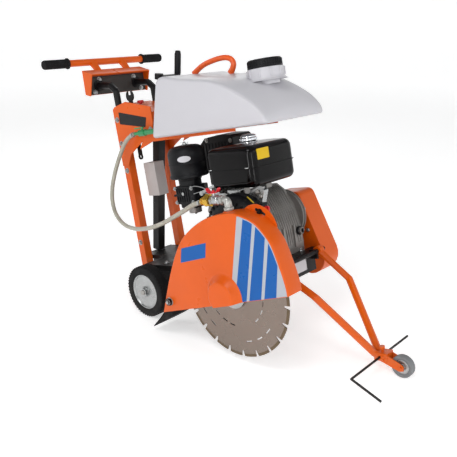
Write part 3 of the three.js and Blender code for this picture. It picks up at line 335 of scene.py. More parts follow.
def make_metals():
    return {
        "zinc": finish(
            "zinc", rgb(172, 174, 174), (0.28, 0.95), (45.0, 0.09), (0.2, 0.42, 60),
            [((260, 3.0), 0.08, 0.0003)],
        ),
        "galvanised": make_galvanised(),
        "steel": finish(
            "steel", rgb(168, 166, 162), (0.33, 0.95), (30.0, 0.08), (0.25, 0.45, 50),
            [((90, 2.0, 0.5, (1, 12, 1)), 0.08, 0.0003)],
        ),
        "blade": make_blade_steel(),
        "segment": make_segment(),
        "aluminium": finish(
            "cast_aluminium", rgb(142, 139, 136), (0.5, 0.75), (24.0, 0.12), (0.4, 0.62, 30),
            [((300, 4.0, 0.7), 0.35, 0.0007)],
            dust=(0.3, rgb(92, 84, 76)),
        ),
        "iron": finish(
            "cast_iron", rgb(70, 70, 72), (0.6, 0.7), (26.0, 0.15), (0.5, 0.75, 30),
            [((280, 4.0, 0.7), 0.4, 0.0008)],
        ),
        "chrome": finish(
            "chrome", rgb(226, 228, 232), (0.07, 1.0), (20.0, 0.03), (0.05, 0.12, 20),
            [((60, 2.0), 0.02, 0.0004)],
        ),
        "brass": finish(
            "brass", rgb(206, 164, 66), (0.25, 0.95), (40.0, 0.12), (0.18, 0.38, 50),
            [((240, 3.0), 0.1, 0.0004)],
        ),
    }


def make_plastics():
    """Milky tank, tool box and hose, whose colour scatters a little, then the plain colours."""
    return {
        "white": finish(
            "white_plastic", rgb(192, 191, 196), (0.38, 0.0, 0.0, 0.4), (3.0, 0.025), (0.32, 0.46, 8),
            [((700, 2.0), 0.06, 0.0003), ((9, 2.0), 0.12, 0.003)],
            subsurface=(0.25, (0.02, 0.02, 0.022)),
        ),
        "milky": finish(
            "milky_plastic", rgb(178, 172, 170), (0.4,), (14.0, 0.06), (0.3, 0.5, 18),
            [((500, 2.0), 0.08, 0.0003)],
            subsurface=(0.2, (0.01, 0.01, 0.01)),
        ),
        "hose": finish(
            "hose_plastic", rgb(160, 156, 142), (0.3, 0.0, 0.3), (40.0, 0.1), (0.22, 0.4, 40),
            [((300, 2.0), 0.1, 0.0003)],
            subsurface=(0.2, (0.006, 0.006, 0.005)),
        ),
        "red": coloured_plastic("red_plastic", rgb(206, 22, 34)),
        "green": coloured_plastic("green_plastic", rgb(30, 132, 76), 0.4),
        "orange_plastic": coloured_plastic("orange_plastic", rgb(222, 84, 4), 0.28),
        "wire_yellow": coloured_plastic("wire_yellow", rgb(200, 170, 30)),
        "wire_blue": coloured_plastic("wire_blue", rgb(34, 52, 120)),
    }


def make_films():
    colours = {
        "blue_film": rgb(0, 84, 158),
        "grey_film": rgb(168, 172, 180),
        "black_film": rgb(22, 22, 24),
        "white_film": rgb(196, 196, 200),
        "yellow_film": rgb(214, 176, 6),
    }
    return {name: make_vinyl(name, colour) for name, colour in colours.items()}


MATERIALS = {
    **make_paints_and_rubbers(),
    **make_metals(),
    **make_plastics(),
    **make_films(),
    "floor": make_floor(),
}


# ---------------------------------------------------------------- mesh helpers (millimetres)
def box(bm, x0, x1, y0, y1, z0, z1):
    made = bmesh.ops.create_cube(bm, size=1.0)["verts"]
    size = Matrix.Diagonal((x1 - x0, y1 - y0, z1 - z0, 1))
    middle = Matrix.Translation(((x0 + x1) / 2, (y0 + y1) / 2, (z0 + z1) / 2))
    bmesh.ops.transform(bm, matrix=middle @ size, verts=made)
    return made


def turned_box(bm, centre, turn, *sides, axis="Z"):
    """Box given by its sides, moved to centre and turned about an axis through it."""
    spot = Matrix.Translation(centre) @ Matrix.Rotation(turn, 4, axis)
    bmesh.ops.transform(bm, matrix=spot, verts=box(bm, *sides))


def ring(centre, normal_u, normal_v, radius, sides, phase=0.0):
    return [
        centre
        + normal_u * (radius * math.cos(phase + math.tau * i / sides))
        + normal_v * (radius * math.sin(phase + math.tau * i / sides))
        for i in range(sides)
    ]


def skin(bm, loops, closed_ends=True, closed_round=False):
    """Faces between loops of equal point count; the ends are filled, or the last loop joins the first."""
    rows = [[bm.verts.new(p) for p in loop] for loop in loops]
    count = len(rows[0])
    pairs = list(zip(rows, rows[1:]))
    if closed_round:
        pairs.append((rows[-1], rows[0]))
    for a, b in pairs:
        for i in range(count):
            j = (i + 1) % count
            bm.faces.new((a[i], a[j], b[j], b[i]))
    if closed_ends and not closed_round:
        bm.faces.new(list(reversed(rows[0])))
        bm.faces.new(rows[-1])
    return rows


def lathe(bm, profile, centre, axis, sides=48):
    """Profile of (radius, distance along the axis) turned about an axis through centre."""
    axis = Vector(axis).normalized()
    side = axis.orthogonal().normalized()
    other = axis.cross(side)
    loops = []
    for radius, along in profile:
        loops.append(ring(Vector(centre) + axis * along, side, other, max(radius, 0.05), sides))
    skin(bm, loops)


def turned_ring(bm, profile, centre, axis, sides=48):
    """The same for a closed profile, such as a tyre's section."""
    axis = Vector(axis).normalized()
    side = axis.orthogonal().normalized()
    other = axis.cross(side)
    loops = [
        ring(Vector(centre) + axis * along, side, other, radius, sides) for radius, along in profile
    ]
    skin(bm, loops, closed_round=True)


def plate(bm, points, y0, y1):
    """Outline of (x, z) points between two Y planes."""
    near = [bm.verts.new((x, y0, z)) for x, z in points]
    far = [bm.verts.new((x, y1, z)) for x, z in points]
    count = len(points)
    for i in range(count):
        j = (i + 1) % count
        bm.faces.new((near[i], near[j], far[j], far[i]))
    bm.faces.new(list(reversed(near)))
    bm.faces.new(far)


def rounded(points, radius, steps=6):
    """The polyline with each corner turned into an arc-like bend."""
    points = [Vector(p) for p in points]
    path = [points[0]]
    for before, corner, after in zip(points, points[1:], points[2:]):
        reach = min(radius, (corner - before).length * 0.45, (after - corner).length * 0.45)
        start = corner + (before - corner).normalized() * reach
        end = corner + (after - corner).normalized() * reach
        for i in range(steps + 1):
            t = i / steps
            path.append(start * (1 - t) ** 2 + corner * 2 * t * (1 - t) + end * t * t)
    path.append(points[-1])
    return path


def sweep(bm, path, radius, sides=20, ends=True):
    """Round bar along a path, without twist."""
    path = [Vector(p) for p in path]
    loops = []
    side = None
    for i, point in enumerate(path):
        ahead = path[min(i + 1, len(path) - 1)] - path[max(i - 1, 0)]
        ahead.normalize()
        if side is None:
            side = ahead.orthogonal().normalized()
        side = (side - ahead * side.dot(ahead)).normalized()
        r = radius(i / (len(path) - 1)) if callable(radius) else radius
        loops.append(ring(point, side, ahead.cross(side), r, sides))
    skin(bm, loops, closed_ends=ends)


def smooth_curve(points, steps):
    """Catmull-Rom curve through the points."""
    points = [Vector(p) for p in points]
    padded = [points[0] * 2 - points[1]] + points + [points[-1] * 2 - points[-2]]
    path = []
    for a, b, c, d in zip(padded, padded[1:], padded[2:], padded[3:]):
        for i in range(steps):
            t = i / steps
            path.append(
                0.5
                * (
                    2 * b
                    + (c - a) * t
                    + (2 * a - 5 * b + 4 * c - d) * t * t
                    + (3 * b - a - 3 * c + d) * t**3
                )
            )
    path.append(points[-1])
    return path


def round_loop(points, radius, steps=5):
    """Closed outline with each corner turned into a bend."""
    count = len(points)
    loop = []
    for i in range(count):
        corner = Vector(points[i])
        before, after = Vector(points[i - 1]), Vector(points[(i + 1) % count])
        reach = radius[i] if isinstance(radius, (list, tuple)) else radius
        reach = min(reach, (corner - before).length * 0.48, (after - corner).length * 0.48)
        start = corner + (before - corner).normalized() * reach
        end = corner + (after - corner).normalized() * reach
        for k in range(steps + 1):
            t = k / steps
            p = start * (1 - t) ** 2 + corner * 2 * t * (1 - t) + end * t * t
            loop.append(tuple(p))
    return loop


def rectangle_loop(x0, x1, y0, y1, corner, steps=8):
    """Rounded rectangle as (x, y) points, counter-clockwise."""
    loop = []
    for cx, cy, start in (
        (x1 - corner, y0 + corner, -90), (x1 - corner, y1 - corner, 0),
        (x0 + corner, y1 - corner, 90), (x0 + corner, y0 + corner, 180),
    ):
        for i in range(steps + 1):
            a = math.radians(start + 90 * i / steps)
            loop.append((cx + corner * math.cos(a), cy + corner * math.sin(a)))
    return loop


def soft_block(bm, x, y, z, corner, low_edge, high_edge, crown=0.0, steps=7):
    """Block with rounded corners, softened bottom and top edges, and a top that rises by crown."""
    rings = []
    for i in range(steps + 1):
        a = math.radians(90 * i / steps)
        rings.append((low_edge * (1 - math.sin(a)), z[0] + low_edge * (1 - math.cos(a))))
    for i in range(steps + 1):
        a = math.radians(90 * i / steps)
        rings.append((high_edge * (1 - math.cos(a)), z[1] - crown - high_edge * (1 - math.sin(a))))
    if crown:
        reach = min(x[1] - x[0], y[1] - y[0]) / 2 - high_edge
        for share in (0.25, 0.5, 0.75, 0.95):
            rings.append((high_edge + reach * share, z[1] - crown * (1 - share) ** 2))
    loops = []
    for inset, height in rings:
        ring_corner = max(corner - inset, 2.0)
        outline = rectangle_loop(x[0] + inset, x[1] - inset, y[0] + inset, y[1] - inset, ring_corner)
        loops.append([Vector((px, py, height)) for px, py in outline])
    skin(bm, loops)


def plate_with_hole(bm, outer, inner, y0, y1):
    """Flat plate between two Y planes; both outlines have the same number of (x, z) points."""
    rows = []
    for outline, y in ((outer, y0), (outer, y1), (inner, y1), (inner, y0)):
        rows.append([bm.verts.new((x, y, z)) for x, z in outline])
    count = len(outer)
    for a, b in zip(rows, rows[1:] + rows[:1]):
        for i in range(count):
            j = (i + 1) % count
            bm.faces.new((a[i], a[j], b[j], b[i]))


def resampled(points, count, start_angle=0.0, centre=(0, 0)):
    """Closed outline sampled evenly by direction as seen from centre."""
    found = []
    size = len(points)
    for k in range(count):
        a = start_angle + math.tau * k / count
        d = Vector((math.cos(a), math.sin(a)))
        best = None
        for i in range(size):
            p = Vector(points[i]) - Vector(centre)
            q = Vector(points[(i + 1) % size]) - Vector(centre)
            edge = q - p
            cross = d.x * edge.y - d.y * edge.x
            if abs(cross) < 1e-9:
                continue
            t = (p.x * edge.y - p.y * edge.x) / cross
            u = (p.x * d.y - p.y * d.x) / cross
            if t > 0 and -1e-6 <= u <= 1 + 1e-6 and (best is None or t > best):
                best = t
        found.append((centre[0] + d.x * best, centre[1] + d.y * best))
    return found


def hexagon(bm, centre, axis, across, height, chamfer=0.8):
    r = across / math.sqrt(3)
    lathe(
        bm,
        [(r, 0), (r, height - chamfer), (r - chamfer * 1.2, height)],
        centre,
        axis,
        6,
    )


def bolt(bm, centre, axis, across=13, height=6, washer=True):
    """Hex head on its washer, seated on a face."""
    base = Vector(centre)
    axis = Vector(axis).normalized()
    if washer:
        lathe(bm, [(across * 0.85, 0), (across * 0.85, 1.4)], base, axis, 24)
        base = base + axis * 1.4
    hexagon(bm, base, axis, across, height)
    lathe(bm, [(across * 0.3, height), (across * 0.3, height + 2.2)], base, axis, 16)


def piece(name, bm, look, body, space=CHASSIS, smooth=40, bevel=0.0, segments=2, replaces=()):
    """Turns the millimetre mesh into an object that rides on a body, unless body is None."""
    bm.transform(space)
    bmesh.ops.recalc_face_normals(bm, faces=bm.faces)
    mesh = bpy.data.meshes.new(name)
    bm.to_mesh(mesh)
    bm.free()
    mesh.materials.append(MATERIALS[look])
    obj = bpy.data.objects.new(name, mesh)
    bpy.context.scene.collection.objects.link(obj)
    if bevel:
        add_bevel(obj, bevel, segments)
    shade(mesh, smooth)
    if body:
        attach(obj, body)
    if replaces:
        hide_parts(*replaces)
    return obj


def add_bevel(obj, width, segments=2, angle=35):
    modifier = obj.modifiers.new("edges", "BEVEL")
    modifier.width = width * 0.001
    modifier.segments = segments
    modifier.limit_method = "ANGLE"
    modifier.angle_limit = math.radians(angle)
    modifier.harden_normals = True
    return modifier


def shade(mesh, degrees):
    mesh.polygons.foreach_set("use_smooth", [True] * len(mesh.polygons))
    mesh.set_sharp_from_angle(angle=math.radians(degrees))


def dress(node, look, bevel=1.0, smooth=35):
    """Gives a CAD node its finish: welded facets, softened edges and a material."""
    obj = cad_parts[node]
    mesh = obj.data
    if "custom_normal" in mesh.attributes:
        mesh.attributes.remove(mesh.attributes["custom_normal"])
    mesh.materials.clear()
    mesh.materials.append(MATERIALS[look])
    shade(mesh, smooth)
    weld = obj.modifiers.new("weld", "WELD")
    weld.merge_threshold = 0.00002
    if bevel:
        add_bevel(obj, bevel, 2, smooth)


# ---------------------------------------------------------------- water hose
HOSE_ROUTE = [
    (-43.5, -145, 592), (-62, -146, 588), (-88, -148, 576), (-110, -151, 558), (-132, -156, 530),
    (-155, -167, 488), (-170, -180, 446), (-177, -196, 400), (-172, -212, 352), (-148, -228, 308),
    (-110, -240, 275), (-60, -251, 255), (0, -260, 247), (60, -267, 249), (130, -275, 259),
    (200, -283, 277), (270, -289, 301), (330, -293, 323), (380, -295.5, 342), (423, -296, 351.4),
]


def make_water_hose():
    path = smooth_curve(HOSE_ROUTE, 8)
    bm = bmesh.new()
    sweep(bm, path, 8.0, 20)
    hose = piece("hose", bm, "hose", None, replaces=("water_hose",))
    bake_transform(hose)


def make_hose_clips():
    for name, body, end, inner in (
        ("hose_clip_tap", "chassis", HOSE_ROUTE[0], HOSE_ROUTE[1]),
        ("hose_clip_valve", "guard", HOSE_ROUTE[-1], HOSE_ROUTE[-2]),
    ):
        bm = bmesh.new()
        along = (Vector(inner) - Vector(end)).normalized()
        start = Vector(end) + along * 6
        turned_ring(bm, [(8.4, 0), (9.6, 0), (9.6, 8), (8.4, 8)], start, along, 28)
        screw = start + along * 4 + Vector((0, -11, 0))
        box(bm, screw.x - 4, screw.x + 4, screw.y - 2, screw.y + 2.5, screw.z - 6, screw.z + 6)
        piece(name, bm, "zinc", body, bevel=0.3)


# ---------------------------------------------------------------- wheels
def tyre_section(radius, half, rim, shoulder):
    """Closed section of a solid tyre, as (radius, across) points."""
    points = []
    for side in (-1, 1):
        arc = [
            (
                radius - shoulder + shoulder * math.cos(math.radians(a)),
                side * (half - shoulder + shoulder * math.sin(math.radians(a))),
            )
            for a in (90, 70, 50, 30, 12, 0)
        ]
        wall = [(rim, side * (half - 5)), (rim + 5, side * (half - 1)), (rim + 12, side * half)]
        points += (wall + arc) if side < 0 else list(reversed(wall + arc))
    return points


REAR_WHEEL_Y = 246
RIM_DISH = [
    (66, 19), (67.5, 22.5), (64, 22.5), (60, 17), (56, 6), (44, 2.5), (30, 3), (24, 7), (21, 9),
    (19.5, 27), (12, 28), (10.6, 27), (10.6, 0), (66, 0),
]


def dished_hub(bm, dish, centre, sides):
    """Both faces of a hub; dish is (radius, distance out from the middle)."""
    for face in (-1, 1):
        lathe(bm, [(radius, face * out) for radius, out in dish], centre, (0, 1, 0), sides)


def rear_wheel(side):
    y = side * REAR_WHEEL_Y
    name = "right" if side < 0 else "left"
    body = "rear_wheel_r" if side < 0 else "rear_wheel_l"
    bm = bmesh.new()
    turned_ring(bm, tyre_section(99.2, 25, 64, 9), (0, y, 0), (0, 1, 0), 96)
    for shift in (-13, -4.5, 4.5, 13):
        turned_ring(
            bm, [(98.8, shift - 2.7), (99.9, shift - 2.2), (99.9, shift + 2.2), (98.8, shift + 2.7)],
            (0, y, 0), (0, 1, 0), 96,
        )
    for i in range(48):
        for edge in (-18, 18):
            lug = (-2.2, 2.2, edge - 4.5, edge + 4.5, 95.5, 99.6)
            turned_box(bm, (0, y, 0), math.tau * i / 48, *lug, axis="Y")
    piece(f"tyre_{name}", bm, "tyre", body, smooth=50, replaces=(f"rear_wheel_{name}",))
    bm = bmesh.new()
    dished_hub(bm, RIM_DISH, (0, y, 0), 64)
    for i in range(5):
        turn = Matrix.Rotation(math.tau * i / 5, 4, "Y")
        spot = turn @ Vector((0, 0, 37))
        for face in (-1, 1):
            bolt(bm, (spot.x, y + face * 2.8, spot.z), (0, face, 0), 8, 4, False)
    piece(f"rim_{name}", bm, "zinc", body, smooth=38)
    bm = bmesh.new()
    end = y + side * 30
    lathe(bm, [(17, 0), (17, 2)], (0, end, 0), (0, side, 0), 28)
    hexagon(bm, (0, end + side * 2, 0), (0, side, 0), 17, 3.6)
    piece(f"axle_nut_{name}", bm, "zinc", "chassis", bevel=0.3)


def small_wheel(node, body, tread, hub, look, section, dish, sides):
    """Solid wheel with a dished hub."""
    low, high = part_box(node)
    space = Matrix.Translation((low + high) / 2) @ Matrix.Scale(0.001, 4)
    bm = bmesh.new()
    turned_ring(bm, tyre_section(*section), (0, 0, 0), (0, 1, 0), sides[0])
    piece(tread, bm, look, body, space, 50, replaces=(node,))
    bm = bmesh.new()
    dished_hub(bm, dish, (0, 0, 0), sides[1])
    piece(hub, bm, "zinc", body, space, 38)


def front_wheel(side):
    name = "right" if side < 0 else "left"
    dish = [(35, 12), (34.5, 13.5), (30, 9), (18, 8), (15, 15), (8.7, 15.5), (8.7, 0), (35, 0)]
    small_wheel(
        f"front_wheel_{name}", f"front_wheel_{name[0]}", f"roller_{name}", f"roller_hub_{name}",
        "rubber", (59.6, 17.5, 34, 5), dish, (72, 48),
    )


def guide_roller():
    dish = [(24, 9), (22, 9.5), (17, 5), (11, 5), (10, 11.5), (4.7, 11.8), (4.7, 0), (24, 0)]
    small_wheel(
        "guide_wheel", "guide_roller", "guide_tread", "guide_hub",
        "grey_rubber", (37.3, 12, 23, 3.5), dish, (64, 40),
    )


# ---------------------------------------------------------------- blade guard
GUARD_RIM = [
    (753, 71), (751, 100), (740, 152), (718, 224), (691, 265), (661, 293), (630, 308), (583, 320),
    (529, 318), (460, 304), (386, 271), (318, 220), (256, 133), (205, 38), (167, -42),
]
GUARD_SHEET = 3
DOME_BASE, DOME_TOP, DOME_HEIGHT = 71, 50, 25
PIVOT = (216, 4)


def guard_bottom(x):
    return -42 + (71 + 42) / (753 - 167) * (x - 167)


def guard_outline(inward=0.0, steps=6):
    """Smooth rim from the front foot over the top to the rear foot, moved inwards."""
    curve = [(p.x, p.z) for p in smooth_curve([(x, 0, z) for x, z in GUARD_RIM], steps)]
    moved = []
    for i, (x, z) in enumerate(curve):
        before, after = curve[max(i - 1, 0)], curve[min(i + 1, len(curve) - 1)]
        run = Vector((after[0] - before[0], after[1] - before[1])).normalized()
        x, z = x - run.y * inward, z + run.x * inward
        at_foot = i in (0, len(curve) - 1)
        moved.append((x, guard_bottom(x) if at_foot else max(z, guard_bottom(x))))
    return moved


def guard_shell(bm):
    """Outer face, rolled rim and inner face as one bent sheet, open at the bottom."""
    t = GUARD_SHEET
    sections = [
        (4, GUARD_Y0), (2.2, GUARD_Y0 + 0.3), (0.6, GUARD_Y0 + 1.8), (0, GUARD_Y0 + 4),
        (0, GUARD_Y1 - 4), (0.6, GUARD_Y1 - 1.8), (2.2, GUARD_Y1 - 0.3), (4, GUARD_Y1),
        (5, GUARD_Y1 - t), (t, GUARD_Y1 - t - 2), (t, GUARD_Y0 + t + 2), (5, GUARD_Y0 + t),
    ]
    grid = []
    for inward, y in sections:
        grid.append([bm.verts.new((x, y, z)) for x, z in guard_outline(inward)])
    for a, b in zip(grid[:7] + grid[8:11], grid[1:8] + grid[9:12]):
        for i in range(len(a) - 1):
            bm.faces.new((a[i], a[i + 1], b[i + 1], b[i]))
    bm.faces.new([row[0] for row in grid])
    bm.faces.new([row[-1] for row in reversed(grid)])
    bm.faces.new(grid[0])
    bm.faces.new(list(reversed(grid[11])))
    bm.faces.new((grid[0][0], grid[0][-1], grid[11][-1], grid[11][0]))
    notch = []
    for y in (GUARD_Y1, GUARD_Y1 - t):
        arch = []
        for i in range(25):
            a = math.radians(180 * i / 24)
            arch.append((BLADE[0] - 63 * math.cos(a), BLADE[1] + 63 * math.sin(a)))
        low = [(BLADE[0] - 63, guard_bottom(BLADE[0] - 63)), (BLADE[0] + 63, guard_bottom(BLADE[0] + 63))]
        notch.append([bm.verts.new((x, y, z)) for x, z in [low[0]] + arch + [low[1]]])
    bm.faces.new(list(grid[7]) + notch[0])
    bm.faces.new(list(reversed(list(grid[8]) + notch[1])))
    for i in range(len(notch[0]) - 1):
        bm.faces.new((notch[0][i], notch[0][i + 1], notch[1][i + 1], notch[1][i]))
    for near, far in ((0, -1), (-1, 0)):
        bm.faces.new((grid[7][near], notch[0][far], notch[1][far], grid[8][near]))


def make_guard():
    bm = bmesh.new()
    lathe(
        bm,
        [
            (DOME_BASE + 5, 0), (DOME_BASE + 1, 0.8), (DOME_BASE - 2, 3), (DOME_TOP + 4, 20.5),
            (DOME_TOP + 1.5, 23.4), (DOME_TOP - 2, DOME_HEIGHT - 0.3), (DOME_TOP - 7, DOME_HEIGHT),
            (0, DOME_HEIGHT),
        ],
        (BLADE[0], GUARD_Y0 + 0.1, BLADE[1]), (0, -1, 0), 96,
    )
    below = (Vector((753, 0, 71)) - Vector((167, 0, -42))).cross(Vector((0, 1, 0)))
    everything = bm.verts[:] + bm.edges[:] + bm.faces[:]
    cut = bmesh.ops.bisect_plane(
        bm, geom=everything, plane_co=(167, 0, -42), plane_no=-below, clear_outer=True
    )
    rim = [e for e in cut["geom_cut"] if isinstance(e, bmesh.types.BMEdge)]
    bmesh.ops.holes_fill(bm, edges=rim)
    guard_shell(bm)
    lathe(bm, [(19, 0), (19, 8), (17, 9), (13.4, 9), (13.4, 0)], (537, -296, 313), (0, 0, 1), 40)
    piece("guard_shell", bm, "orange", "guard", smooth=32, replaces=("blade_guard",))
    bm = bmesh.new()
    ear = [(560, 300), (690, 250), (694, 268), (682, 300), (660, 322), (625, 336), (590, 332), (568, 318)]
    slot = [(612, 315), (650, 295), (656, 305), (618, 325)]
    centre = (634, 310)
    plate_with_hole(
        bm,
        resampled(round_loop(ear, 14), 64, 0, centre),
        resampled(round_loop(slot, 5.5), 64, 0, centre),
        GUARD_Y1 - GUARD_SHEET, GUARD_Y1,
    )
    piece("guard_ear", bm, "orange", "guard", smooth=30, bevel=0.5)


def decal(name, points, look, level):
    """Flat film stuck to the guard's outer face."""
    bm = bmesh.new()
    plate(bm, points, GUARD_Y0 - 0.3 - 0.3 * level, GUARD_Y0 + 0.1)
    return piece(name, bm, look, "guard", smooth=10)


def rim_part(x_from, x_to, inward):
    """Points of the guard's rim between two x values, rear to front."""
    rim = reversed(guard_outline(inward, 10))
    return [(x, z) for x, z in rim if x_from < x < x_to and z > 60]


def boss_part(a_from, a_to, radius):
    """Points round the boss, by angle in degrees."""
    points = []
    for i in range(13):
        a = math.radians(a_from + (a_to - a_from) * i / 12)
        points.append((BLADE[0] + radius * math.cos(a), BLADE[1] + radius * math.sin(a)))
    return points


STRIPES = [((616, 549), (654, 583)), ((664, 595), (698, 645)), ((705, 658), (730, 706))]


def make_guard_decals():
    """Silver film with three blue bands on the front half, and a blank blue patch."""
    boss = DOME_BASE + 5.5
    film = [(596, 311)] + rim_part(597, 760, 5.5)
    film += [(742, guard_bottom(742) + 1.5), (BLADE[0] + boss, guard_bottom(BLADE[0] + boss) + 1.5)]
    film += boss_part(-4, 52, boss)
    decal("silver_film", film, "grey_film", 0)
    for i, ((top_left, foot_left), (top_right, foot_right)) in enumerate(STRIPES):
        band = rim_part(top_left, top_right, 8.5)
        band += [(foot_right, guard_bottom(foot_right) + 1.5)]
        if i == 0:
            band += [(BLADE[0] + boss, guard_bottom(BLADE[0] + boss) + 1.5)] + boss_part(-4, 34, boss)
        else:
            band += [(foot_left, guard_bottom(foot_left) + 1.5)]
        decal(f"blue_band_{i + 1}", band, "blue_film", 1)
    patch = round_loop([(322, 201), (444, 224), (431, 174), (307, 150)], 2.5)
    decal("blue_patch", patch, "blue_film", 0)


def make_guard_fixings():
    bm = bmesh.new()
    face = GUARD_Y0 - 0.2
    lathe(bm, [(15, 0), (15, 2), (14, 2.4)], (PIVOT[0], face, PIVOT[1]), (0, -1, 0), 40)
    hexagon(bm, (PIVOT[0], face - 2.4, PIVOT[1]), (0, -1, 0), 19, 9)
    lathe(bm, [(6, 0), (6, 5), (5, 6)], (PIVOT[0], face - 11, PIVOT[1]), (0, -1, 0), 24)
    piece("guard_pivot_nut", bm, "zinc", "chassis", bevel=0.3)
    bm = bmesh.new()
    bolt(bm, (634, GUARD_Y1 - GUARD_SHEET - 0.1, 310), (0, -1, 0), 13, 6)
    piece("guard_slot_bolt", bm, "black", "guard", bevel=0.3)


# ---------------------------------------------------------------- water valve on the guard
VALVE_Y, VALVE_Z = -296, 356


def make_valve():
    bm = bmesh.new()
    path = rounded([(537, VALVE_Y, 321), (537, VALVE_Y, VALVE_Z), (509, VALVE_Y, VALVE_Z)], 22, 10)
    sweep(bm, path, 12.2, 28)
    for centre, axis in (((537, VALVE_Y, 322.5), (0, 0, 1)), ((522, VALVE_Y, VALVE_Z), (-1, 0, 0))):
        lathe(bm, [(12, 0), (15.2, 0.8), (15.8, 3), (15.8, 9), (15, 10.6), (12, 12)], centre, axis, 36)
    piece("valve_elbow", bm, "galvanised", "guard", smooth=45, replaces=("water_valve",))
    bm = bmesh.new()
    hexagon(bm, (509, VALVE_Y, VALVE_Z), (-1, 0, 0), 27, 9, 1.4)
    lathe(
        bm,
        [(12, 8), (14.5, 10), (16, 15), (16.2, 22), (16, 29), (14.5, 34), (12, 37)],
        (509, VALVE_Y, VALVE_Z), (-1, 0, 0), 40,
    )
    hexagon(bm, (474, VALVE_Y, VALVE_Z), (-1, 0, 0), 27, 10, 1.4)
    lathe(bm, [(8, 12), (8, 17), (5.5, 18), (5.5, 23)], (481, VALVE_Y, VALVE_Z), (0, 0, 1), 28)
    piece("valve_body", bm, "zinc", "guard", smooth=38, bevel=0.4)
    bm = bmesh.new()
    hexagon(bm, (463, VALVE_Y, VALVE_Z), (-1, 0, 0.08), 38, 17, 2.2)
    lathe(
        bm,
        [(17, 0), (18, 2), (18, 5), (12, 7), (14.6, 9), (12, 14), (14.4, 15), (12, 20), (13, 21), (10, 24)],
        (446, VALVE_Y, VALVE_Z - 1.4), (-1, 0, -0.1), 36,
    )
    piece("hose_coupling", bm, "brass", "guard", smooth=38, bevel=0.5)


def make_valve_lever():
    """Butterfly handle pressed from sheet: two upturned wings on a flat hub."""
    z = VALVE_Z + 22.4
    bm = bmesh.new()
    rows = []
    for x, half, rise in (
        (-27, 6, 15), (-25.5, 8.5, 12), (-21, 9.2, 5.5), (-14, 8, 1), (-6, 7.6, 0), (6, 7.6, 0),
        (14, 8, 1), (21, 9.2, 5.5), (25.5, 8.5, 12), (27, 6, 15),
    ):
        loop = [(-half, 0), (half, 0), (half, 3.2), (-half, 3.2)]
        rows.append([Vector((481 + x, VALVE_Y + a, z + rise + b)) for a, b in loop])
    skin(bm, rows)
    lathe(bm, [(7, 3), (7, 4.5), (5, 4.6), (5, 9), (4, 10)], (481, VALVE_Y, z), (0, 0, 1), 24)
    piece(
        "valve_wings", bm, "red", "valve_handle", smooth=60, bevel=0.9, segments=3,
        replaces=("valve_lever",),
    )


# ---------------------------------------------------------------- blade segments
GULLETS = 22
GULLET_TURN = -0.7


def make_segments():
    """Sintered segments on the rim, a little thicker than the steel core."""
    bm = bmesh.new()
    for i in range(GULLETS):
        middle = 360 * i / GULLETS + GULLET_TURN
        half = 180 / GULLETS - 1.75
        loops = []
        for k in range(7):
            a = math.radians(middle - half + 2 * half * k / 6)
            loop = []
            for r, y in ((215.5, -2.1), (224.6, -2.1), (225, -1.6), (225, 1.6), (224.6, 2.1), (215.5, 2.1)):
                x, z = BLADE[0] + r * math.cos(a), BLADE[1] + r * math.sin(a)
                loop.append(Vector((x, BLADE_Y + y, z)))
            loops.append(loop)
        skin(bm, loops)
    piece("blade_segments", bm, "segment", "blade_drive", smooth=30)


# ---------------------------------------------------------------- water tank
TANK_PROFILE = [
    (74, 566), (622, 566), (623, 578), (608, 604), (580, 634), (534, 666), (469, 704), (399, 731),
    (323, 746), (250, 760), (195, 774), (165, 776), (147, 768), (137, 752), (108, 668),
]
NECK_X = 520


def tank_rise(x, y):
    share = 1 - min(1, abs(y) / TANK_HALF) ** 2
    rise = min(max((x - 190) / 340, 0), 1) ** 2
    fall = min(max((622 - x) / 90, 0), 1) ** 0.4
    return 36 * share * rise * fall


def tank_outline():
    top = [(x, 0, z) for x, z in TANK_PROFILE[2:]]
    curve = [(p.x, p.z) for p in smooth_curve(top, 5)]
    low = round_loop([(122, 700), (74, 566), (622, 566), (620, 590)], [0, 13, 13, 0], 6)
    low = [p for p in low if p[1] < 582]
    return low + [p for p in curve if p[1] > 584]


def make_tank():
    bm = bmesh.new()
    outline = tank_outline()
    edge = 13
    middle = Vector((340, 660))
    reach = Vector((275, 105))
    stations = []
    for i in range(7):
        a = math.radians(90 * i / 6)
        stations.append((TANK_HALF - edge * (1 - math.sin(a)), edge * (1 - math.cos(a))))
    stations = [(-y, soft) for y, soft in reversed(stations)] + [
        (y, 0) for y in (-110, -75, -38, 0, 38, 75, 110)
    ] + stations
    loops = []
    for y, soft in stations:
        loop = []
        for x, z in outline:
            x = middle.x + (x - middle.x) * (1 - soft / reach.x)
            z = middle.y + (z - middle.y) * (1 - soft / reach.y)
            loop.append(Vector((x, y, z + (tank_rise(x, y) if z > 586 else 0))))
        loops.append(loop)
    skin(bm, loops)
    piece("tank_shell", bm, "white", "tank", smooth=70, replaces=("water_tank",))
    bm = bmesh.new()
    lathe(
        bm,
        [(74, 702), (66, 706), (63, 712), (62, 720), (62, 741), (61, 743.6), (56, 744), (50, 744),
         (50, 757), (44, 757.5), (44, 690)],
        (NECK_X, 0, 0), (0, 0, 1), 72,
    )
    for i in range(10):
        turn = math.tau * i / 10
        x, y = NECK_X + 62.5 * math.cos(turn), 62.5 * math.sin(turn)
        lathe(bm, [(3, 0), (3.4, 1), (3.4, 26), (2, 28)], (x, y, 714), (0, 0, 1), 12)
    piece("tank_neck", bm, "white", "tank", smooth=50)


